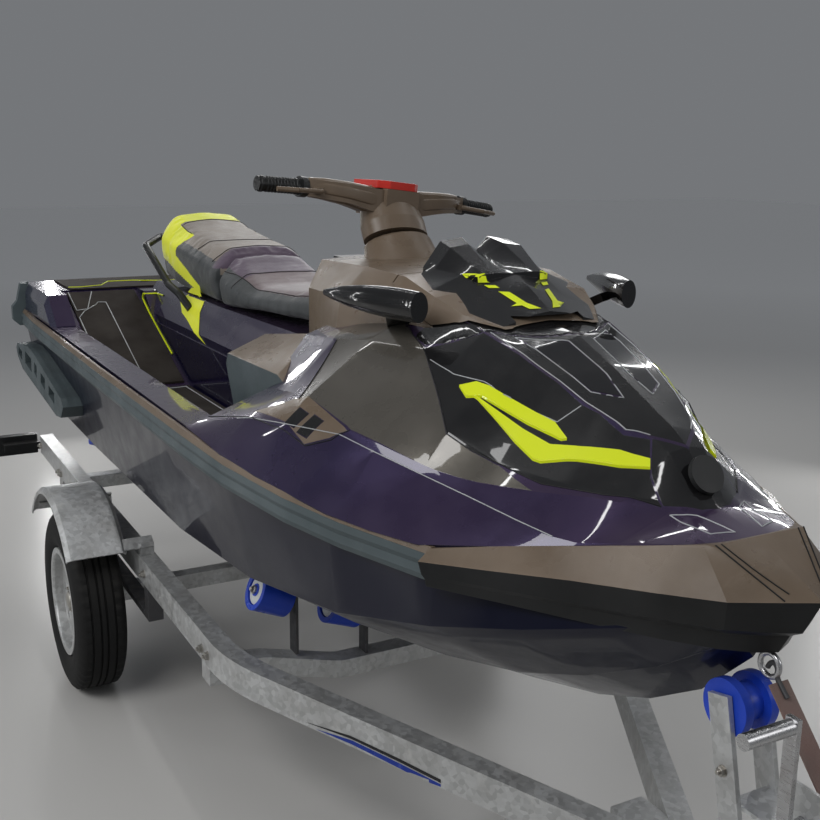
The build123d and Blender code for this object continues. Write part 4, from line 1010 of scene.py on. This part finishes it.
def lay_lines():
    """Every line on the skin and the mats."""
    skin, mats, pedestal = surface(SKIN_NODES), surface(("mats",)), surface(("deck", "seat_rear"))
    borders = [outline + outline[:1] for outline in MAT_PANELS]
    flanks = [(look, pedestal, PEDESTAL_LINE) for look in ("port", "starboard")]
    # Pale lines that are painted highlights along the skin's creases and edges
    make_lines("skin_lines", seen_from_above(skin, HIGHLIGHT_LINES), "pale_line", HIGHLIGHT_LINE_RADIUS)
    # Dark lines that are painted shadow along the skin's seams and ridges
    make_lines("skin_seams", seen_from_above(skin, SHADOW_LINES), "shadow_line", SHADOW_LINE_RADIUS)
    make_lines("mat_borders", seen_from_above(mats, borders), "pale_line", MAT_RADIUS)
    make_lines("stern_border", seen_from_above(mats, (STERN_LINE,)), "lime_line", STERN_RADIUS)
    make_lines("pedestal_lines", flanks, "lime_line", PEDESTAL_RADIUS, reach=INSIDE_WELL)


def lay_marks():
    """The coloured marks on the cowl, the seat's flanks and the trailer's rail."""
    cowl = surface(("visor",))
    pedestal = surface(("deck", "seat_rear"))
    rail = surface(("rail_right", "drawbar"))
    for number, outline in enumerate(COWL_DASHES):
        for side, points in both_sides(outline):
            make_patch(f"cowl_mark_{side}_{number}", "down", points, cowl, "lime_line", "storage_cover")
    for look in ("port", "starboard"):
        make_patch("seat_flank_seen_to_" + look, look, SEAT_FLANK, pedestal, "seat_lime",
                   reach=INSIDE_WELL)
    for number, (finish, outline) in enumerate(RAIL_STRIPES):
        make_patch(f"rail_stripe_{number}", "port", outline, rail, finish, lift=SKIN_LIFT)


def lay_dark_skins():
    """Windows, and the painted shade in the vents' slots and below the cowl."""
    deck = surface(("deck",))
    for name, outline, finish in DARK_SKINS:
        for side, points in both_sides(outline):
            make_patch(name.format(side), "down", points, deck, finish, lift=SKIN_LIFT)


# Bolts through each rail's outer face. Columns: x, z
RAIL_BOLTS = ((0.310, 0.430), (0.350, 0.430), (2.062, 0.440), (2.108, 0.440), (-0.055, 0.446),
              (0.908, 0.446), (1.528, 0.446))
RAIL_FACE = 0.5570
RAIL_BOLT_SIZE = 0.010
# Bolts through each side of the winch post. Columns: x, z
POST_BOLTS = ((3.379, 0.362), (3.312, 0.640))
POST_FACE = 0.0503
POST_BOLT_SIZE = 0.009
# Bolts that hold the winch down. Columns: x, y
WINCH_BOLTS = ((3.445, -0.022), (3.445, 0.022), (3.510, -0.022), (3.510, 0.022))
WINCH_FOOT = 0.592
WINCH_BOLT_SIZE = 0.008


def make_trailer_bolts():
    """Every bolt that shows on the trailer, as one piece."""
    bm = bmesh.new()
    for bolts, face, size in ((RAIL_BOLTS, RAIL_FACE, RAIL_BOLT_SIZE),
                              (POST_BOLTS, POST_FACE, POST_BOLT_SIZE)):
        for sign in (1, -1):
            for x, z in bolts:
                add_bolt(bm, station(x, sign * face, z), Vector((0, sign, 0)), size)
    for x, y in WINCH_BOLTS:
        add_bolt(bm, station(x, y, WINCH_FOOT), Vector((0, 0, 1)), WINCH_BOLT_SIZE)
    finish_bmesh(bm, "trailer_bolts", "nut")


# Steering: its pivot and axis, and how far the bar is turned as it is parked
STEER_PIVOT = (2.005, 0.0, 1.462)
STEER_AXIS = Vector((-0.5, 0.0, math.sqrt(0.75)))
PARKED_TURN = Matrix.Rotation(math.radians(12.5), 3, STEER_AXIS)
# Collar round the stem, on the console. Columns: distance along the axis, half length, half width
COLLAR_ROWS = (
    (-0.180, 0.098, 0.118), (-0.120, 0.088, 0.108), (-0.080, 0.076, 0.096), (-0.050, 0.068, 0.090),
    (-0.044, 0.062, 0.084), (-0.043, 0.020, 0.020),
)
COLLAR_SIDES = 20
COLLAR_EDGE = 0.002
# Housings over the bar's arms as it points straight ahead. Columns: y, x, z, half length, half height
HOUSING_ROWS = (
    (0.040, 1.974, 1.521, 0.050, 0.034), (0.090, 1.976, 1.524, 0.052, 0.035),
    (0.150, 1.980, 1.531, 0.044, 0.031), (0.205, 1.970, 1.535, 0.035, 0.028),
    (0.236, 1.963, 1.535, 0.028, 0.026),
)
HOUSING_SIDES = 8
HOUSING_EDGE = 0.004
HOUSING_CREASE = 20.0


def make_collar():
    """The fixed lower half of the steering neck: a faceted collar round the stem."""
    along = STEER_AXIS.cross(Vector((0, 1, 0)))
    bm = bmesh.new()
    rings = [add_ring(bm, station(*STEER_PIVOT) + STEER_AXIS * distance, along * half_length,
                      Vector((0, half_width, 0)), COLLAR_SIDES, 0.5)
             for distance, half_length, half_width in COLLAR_ROWS]
    bridge(bm, rings)
    bm.faces.new(rings[-1])
    soften(finish_bmesh(bm, "steering_collar", "taupe_plastic"), COLLAR_EDGE)


def parked(place):
    """Where a point of the bar lies once the bar is turned as it is parked."""
    pivot = station(*STEER_PIVOT)
    return pivot + PARKED_TURN @ (place - pivot)


def make_housing(name, sign):
    """A faceted shell round one arm of the handlebar."""
    bm = bmesh.new()
    rings = [add_ring(bm, parked(station(x, sign * y, z)), PARKED_TURN @ Vector((half_length, 0, 0)),
                      PARKED_TURN @ Vector((0, 0, half_height)), HOUSING_SIDES, 0.5)
             for y, x, z, half_length, half_height in HOUSING_ROWS]
    bridge(bm, rings)
    bm.faces.new(rings[0])
    bm.faces.new(rings[-1])
    soften(finish_bmesh(bm, name, "taupe_plastic", "steering"), HOUSING_EDGE, HOUSING_CREASE)


# Rollers under the hull on one side. Columns: x, y, z of the middle, the axle's rise for each metre out
ROLLERS = ((2.085, 0.381, 0.562, 0.41), (2.085, 0.183, 0.490, 0.38), (0.330, 0.381, 0.562, 0.41),
           (0.330, 0.223, 0.505, 0.38))
# Hub disc in a roller's end. Columns: distance outward, radius
ROLLER_HUB = ((0, 0.037), (0.006, 0.036), (0.008, 0.030), (0.0082, 0.017))
ROLLER_HUB_START = 0.0335
ROLLER_NUT_SEAT = 0.008
ROLLER_NUT_SIZE = 0.011


def make_roller_hubs():
    """A pale disc and an axle nut in each hollow roller end."""
    hubs, nuts = bmesh.new(), bmesh.new()
    for x, y, z, rise in ROLLERS:
        for sign in (1, -1):
            axle = Vector((0, sign, rise)).normalized()
            for out in (axle, -axle):
                start = station(x, sign * y, z) + out * ROLLER_HUB_START
                add_turned(hubs, start, out, ROLLER_HUB, 32)
                add_bolt(nuts, start + out * ROLLER_NUT_SEAT, out, ROLLER_NUT_SIZE)
    finish_bmesh(hubs, "roller_hubs", "pale_plastic")
    finish_bmesh(nuts, "roller_nuts", "nut")


# A grip's ends as the bar points straight ahead
GRIP_INNER = (1.9614, 0.268, 1.5335)
GRIP_OUTER = (1.9505, 0.373, 1.5303)
# Ribs and end flanges of a grip. Columns: share of the way out, radius, width
GRIP_RIBS = ((0.06, 0.0198, 0.006),) + tuple((0.16 + 0.08 * i, 0.0192, 0.004) for i in range(9)) + (
    (0.92, 0.0196, 0.008),)
RIB_CHAMFER = 0.001


def make_grip_ribs():
    """Raised ribs on both grips, turned with the bar."""
    bm = bmesh.new()
    for sign in (1, -1):
        inner, outer = [parked(station(x, sign * y, z)) for x, y, z in (GRIP_INNER, GRIP_OUTER)]
        along = outer - inner
        for share, radius, width in GRIP_RIBS:
            rib = ((0, radius - RIB_CHAMFER), (RIB_CHAMFER, radius), (width - RIB_CHAMFER, radius),
                   (width, radius - RIB_CHAMFER))
            add_turned(bm, inner + along * share, along.normalized(), rib, 32)
    finish_bmesh(bm, "grip_ribs", "black_plastic", "steering")


# Middle line of the strap's hook, from the strap's end through the bow eye
HOOK_PATH = (
    (3.388, 0.0, 0.797), (3.372, 0.0, 0.812), (3.362, 0.0, 0.824), (3.364, 0.0, 0.838),
    (3.356, 0.0, 0.846), (3.346, 0.0, 0.842), (3.342, 0.0, 0.832),
)
HOOK_RADIUS = 0.0045


def make_hook():
    """A forged hook between the strap and the bow eye."""
    curve = start_curve("strap_hook", HOOK_RADIUS, 3)
    curve.use_fill_caps = True
    spline = curve.splines.new("NURBS")
    spline.points.add(len(HOOK_PATH) - 1)
    spline.use_endpoint_u = True
    spline.order_u = 3
    for point, place in zip(spline.points, HOOK_PATH):
        point.co = (*station(*place), 1.0)
    finish_curve(curve, "strap_hook", "iron")


# Studio

def make_camera():
    forward = Vector((-math.sin(CAMERA_TURN) * math.cos(CAMERA_DROP),
                      math.cos(CAMERA_TURN) * math.cos(CAMERA_DROP), -math.sin(CAMERA_DROP)))
    level = forward.cross(Vector((0, 0, 1))).normalized()
    upright = level.cross(forward)
    right = math.cos(CAMERA_ROLL) * level + math.sin(CAMERA_ROLL) * upright
    up = math.cos(CAMERA_ROLL) * upright - math.sin(CAMERA_ROLL) * level
    data = bpy.data.cameras.new("camera")
    data.lens = CAMERA_LENS
    data.sensor_width = SENSOR_WIDTH
    camera = bpy.data.objects.new("camera", data)
    camera.matrix_world = Matrix((
        (right.x, up.x, -forward.x, CAMERA_PLACE.x), (right.y, up.y, -forward.y, CAMERA_PLACE.y),
        (right.z, up.z, -forward.z, CAMERA_PLACE.z), (0, 0, 0, 1)))
    bpy.context.scene.collection.objects.link(camera)
    bpy.context.scene.camera = camera


def make_lamp(name, place, target, size, power):
    """A rectangular lamp that faces its target."""
    data = bpy.data.lights.new(name, "AREA")
    data.shape = "RECTANGLE"
    data.size, data.size_y = size
    data.energy = power
    lamp = bpy.data.objects.new(name, data)
    lamp.location = place
    lamp.rotation_euler = (Vector(target) - Vector(place)).to_track_quat("-Z", "Y").to_euler()
    bpy.context.scene.collection.objects.link(lamp)


# Floor: half its side, how far below the tyres it lies, its two tones, and where it fades to pale, a
# painted light that lifts the dimly lit far floor
FLOOR_HALF = 30.0
FLOOR_DROP = 0.0005
FLOOR_TONES = ((0.54, 0.53, 0.51), (0.61, 0.60, 0.58))
FLOOR_PAINTED_LIGHT_TONE = (0.96, 0.96, 0.96)
FLOOR_PAINTED_LIGHT_FADE = (4.0, 12.0)


def make_floor():
    """A large plain floor that pales with distance from the craft, a painted light that lifts the dimly
    lit far floor.
    """
    bm = bmesh.new()
    bmesh.ops.create_grid(bm, x_segments=1, y_segments=1, size=FLOOR_HALF)
    mesh = bpy.data.meshes.new("floor")
    bm.to_mesh(mesh)
    bm.free()
    floor = bpy.data.objects.new("floor", mesh)
    floor.location.z = -FLOOR_DROP
    bpy.context.scene.collection.objects.link(floor)
    finish, tree, shader = start_material("floor", roughness=0.34)
    color = blend_colors(tree, noise(tree, 0.6), *FLOOR_TONES)
    distance = add_node(tree, "ShaderNodeVectorMath", operation="LENGTH")
    join(tree, object_place(tree), distance.inputs[0])
    # Painted light: the floor pales with distance from the craft
    color = blend_colors(tree, ramp(tree, distance.outputs["Value"], *FLOOR_PAINTED_LIGHT_FADE), color, FLOOR_PAINTED_LIGHT_TONE)
    join(tree, color, shader.inputs["Base Color"])
    floor.data.materials.append(finish)


def make_world():
    """An even grey room: dark enough for the tubes to show as streaks in the gloss."""
    world = bpy.data.worlds.new("world")
    bpy.context.scene.world = world
    world.use_nodes = True
    background = world.node_tree.nodes["Background"]
    background.inputs["Color"].default_value = (*bpy.context.scene.craft_studio.room_color, 1.0)
    background.inputs["Strength"].default_value = 1.0


# Lamps. Columns: name, place, target, size, power
LAMPS = (
    ("key", (1.5, -3.4, 3.9), (0.2, 0.0, 0.7), (2.8, 1.6), 92),
    ("fill", (4.4, 2.4, 2.8), (0.5, 0.0, 0.7), (2.2, 1.6), 30),
    ("back", (-4.2, 2.4, 3.4), (-0.5, 0.0, 0.8), (2.6, 1.4), 50),
    ("tube_high", (0.4, -0.7, 3.4), (0.4, -0.7, 0.0), (4.8, 0.04), 11),
    ("tube_far", (-0.5, 1.4, 3.3), (0.0, 0.4, 0.5), (4.8, 0.04), 11),
    ("tube_rear", (-3.6, -0.2, 1.7), (0.0, 0.0, 0.9), (0.05, 2.8), 10),
    ("tube_port", (-1.2, 3.2, 1.7), (0.2, 0.0, 0.9), (0.05, 2.8), 10),
    ("tube_a", (-3.1, -2.9, 1.6), (-0.6, -0.4, 0.9), (0.05, 2.8), 9),
    ("tube_b", (-2.0, -3.7, 1.6), (-0.4, -0.4, 0.9), (0.05, 2.8), 9),
    ("tube_c", (-0.4, -4.1, 1.6), (0.0, -0.4, 0.9), (0.05, 2.8), 9),
)


# Settings that a user would change

def color_property(name, description, default):
    return bpy.props.FloatVectorProperty(name=name, description=description, default=default,
                                         subtype="COLOR", size=3, min=0.0, max=1.0)


def length_property(name, description, default, highest):
    return bpy.props.FloatProperty(name=name, description=description, default=default, min=0.0,
                                   max=highest, precision=4, subtype="DISTANCE", unit="LENGTH")


def scale_property(name, description, highest):
    return bpy.props.FloatProperty(name=name, description=description, default=1.0, min=0.0, max=highest)


class CraftColors(bpy.types.PropertyGroup):
    """Main colours, each named as the finish that it belongs to."""

    hull_gloss: color_property("Hull", "Lacquer on the hull's sides", FINISHES["hull_gloss"][1])
    deck_gloss: color_property("Deck", "Lacquer on the deck's upright faces", FINISHES["deck_gloss"][1])
    panel_grey: color_property("Side panels", "Lacquer on the side panels", FINISHES["panel_grey"][1])
    lime: color_property("Lime trims", "Lacquer on the trims of the fore body", FINISHES["lime"][1])
    taupe_plastic: color_property("Console", "Plastic of the console", FINISHES["taupe_plastic"][1])
    seat_grey: color_property("Seat", "Cover in the middle of the rear seat", FINISHES["seat_grey"][1])
    seat_lime: color_property("Seat arch", "Cover round the rear seat's back", FINISHES["seat_lime"][1])
    red: color_property("Handlebar pad", "Plastic of the pad on the handlebar", FINISHES["red"][1])
    blue_roller: color_property("Rollers", "Plastic of the trailer's rollers", FINISHES["blue_roller"][1])


class CraftSizes(bpy.types.PropertyGroup):
    """Sizes of edges, cushions and tread."""

    edge_scale: scale_property("Edge rounding", "Multiplies the radius given to each hard edge", 3.0)
    cushion_shrink: length_property("Cushion shrink", "How far a cover starts inside", 0.006, 0.02)
    cushion_swell: length_property("Cushion swell", "The farthest that a cover may move", 0.009, 0.03)
    tread_cut: length_property("Tread cut", "Depth of the cuts in a tyre's shoulders", 0.0042, 0.007)


class CraftStudio(bpy.types.PropertyGroup):
    """Light and room colour of the studio."""

    light_scale: scale_property("Light", "Multiplies the power of every lamp", 4.0)
    room_color: color_property("Room", "Colour of the even light all round", (0.175, 0.182, 0.192))


class CRAFT_OT_dress(bpy.types.Operator):
    """Give every carried CAD node its finish and rounded edges"""

    bl_idname = "craft.dress"
    bl_label = "Dress CAD nodes"

    def execute(self, context):
        scale = context.scene.craft_sizes.edge_scale
        for node, slot, width in CARRIED:
            angle = CRISP_ANGLE if node in CRISP_NODES else SOFT_ANGLE
            dress(node, slot, width * scale, angle)
        for node, finish, chosen in SECOND_FINISHES:
            add_second_finish(node, finish, chosen)
        return {"FINISHED"}


class CRAFT_OT_seats(bpy.types.Operator):
    """Make the two seat cushions with their panels and piping"""

    bl_idname = "craft.seats"
    bl_label = "Make the seats"

    def execute(self, context):
        for name, node, finishes, zone, piping in SEATS:
            cover = surface((), (make_cushion(name, node, finishes, zone),))
            make_lines(name + "_piping", seen_from_above(cover, piping), "seam", PIPING_RADIUS)
        return {"FINISHED"}


class CRAFT_OT_wheels(bpy.types.Operator):
    """Make the tyres, hub caps and wheel nuts"""

    bl_idname = "craft.wheels"
    bl_label = "Make the wheels"

    def execute(self, context):
        for side, sign in (("left", 1), ("right", -1)):
            make_tyre(side)
            make_wheel_nuts(side, sign)
        return {"FINISHED"}


class CRAFT_OT_lines(bpy.types.Operator):
    """Lay the painted shadow lines along the skin's seams, its painted highlight lines and the lines on
    the mats
    """

    bl_idname = "craft.lines"
    bl_label = "Lay the lines"

    def execute(self, context):
        lay_lines()
        return {"FINISHED"}


class CRAFT_OT_marks(bpy.types.Operator):
    """Lay the marks on the cowl, the seat's flanks and the rail"""

    bl_idname = "craft.marks"
    bl_label = "Lay the marks"

    def execute(self, context):
        lay_marks()
        return {"FINISHED"}


class CRAFT_OT_dark_skins(bpy.types.Operator):
    """Lay the hood's windows and the painted shade in the vents and below the cowl"""

    bl_idname = "craft.dark_skins"
    bl_label = "Lay the dark skins"

    def execute(self, context):
        lay_dark_skins()
        return {"FINISHED"}


class CRAFT_OT_bolts(bpy.types.Operator):
    """Make the trailer's nuts and bolts"""

    bl_idname = "craft.bolts"
    bl_label = "Make the bolts"

    def execute(self, context):
        make_trailer_bolts()
        return {"FINISHED"}


class CRAFT_OT_steering_covers(bpy.types.Operator):
    """Make the collar under the handlebar and the housings over its arms"""

    bl_idname = "craft.steering_covers"
    bl_label = "Make the steering covers"

    def execute(self, context):
        make_collar()
        make_housing("bar_housing_left", 1)
        make_housing("bar_housing_right", -1)
        return {"FINISHED"}


class CRAFT_OT_roller_hubs(bpy.types.Operator):
    """Make the rollers' hubs and axle nuts"""

    bl_idname = "craft.roller_hubs"
    bl_label = "Make the roller hubs"

    def execute(self, context):
        make_roller_hubs()
        return {"FINISHED"}


class CRAFT_OT_grip_ribs(bpy.types.Operator):
    """Make the ribs on both grips"""

    bl_idname = "craft.grip_ribs"
    bl_label = "Make the grip ribs"

    def execute(self, context):
        make_grip_ribs()
        return {"FINISHED"}


class CRAFT_OT_hook(bpy.types.Operator):
    """Make the strap's hook"""

    bl_idname = "craft.hook"
    bl_label = "Make the hook"

    def execute(self, context):
        make_hook()
        return {"FINISHED"}


class CRAFT_OT_stage(bpy.types.Operator):
    """Make the floor, lamps, world and camera"""

    bl_idname = "craft.stage"
    bl_label = "Make the studio"

    def execute(self, context):
        make_floor()
        make_world()
        for name, place, target, size, power in LAMPS:
            make_lamp(name, place, target, size, power * context.scene.craft_studio.light_scale)
        make_camera()
        context.scene.view_settings.view_transform = "Standard"
        return {"FINISHED"}


class CRAFT_PT_panel(bpy.types.Panel):
    """Sidebar panel for the craft"""

    bl_label = "Watercraft"
    bl_space_type = "VIEW_3D"
    bl_region_type = "UI"
    bl_category = "Watercraft"

    def draw(self, context):
        scene = context.scene
        for group in (scene.craft_colors, scene.craft_sizes, scene.craft_studio):
            for name in type(group).__annotations__:
                self.layout.prop(group, name)
        for operator in OPERATORS:
            self.layout.operator(operator.bl_idname)


OPERATORS = (CRAFT_OT_dress, CRAFT_OT_seats, CRAFT_OT_wheels, CRAFT_OT_lines, CRAFT_OT_marks,
             CRAFT_OT_dark_skins, CRAFT_OT_bolts, CRAFT_OT_steering_covers, CRAFT_OT_roller_hubs,
             CRAFT_OT_grip_ribs, CRAFT_OT_hook, CRAFT_OT_stage)
CLASSES = (CraftColors, CraftSizes, CraftStudio, *OPERATORS, CRAFT_PT_panel)


def register():
    for cls in CLASSES:
        bpy.utils.register_class(cls)
    bpy.types.Scene.craft_colors = bpy.props.PointerProperty(type=CraftColors)
    bpy.types.Scene.craft_sizes = bpy.props.PointerProperty(type=CraftSizes)
    bpy.types.Scene.craft_studio = bpy.props.PointerProperty(type=CraftStudio)


def unregister():
    del bpy.types.Scene.craft_studio
    del bpy.types.Scene.craft_sizes
    del bpy.types.Scene.craft_colors
    for cls in reversed(CLASSES):
        bpy.utils.unregister_class(cls)


def main():
    register()
    bpy.ops.craft.dress()
    bpy.ops.craft.seats()
    bpy.ops.craft.wheels()
    bpy.ops.craft.lines()
    bpy.ops.craft.marks()
    bpy.ops.craft.dark_skins()
    bpy.ops.craft.bolts()
    bpy.ops.craft.steering_covers()
    bpy.ops.craft.roller_hubs()
    bpy.ops.craft.grip_ribs()
    bpy.ops.craft.hook()
    bpy.ops.craft.stage()


if __name__ == "__main__":
    main()
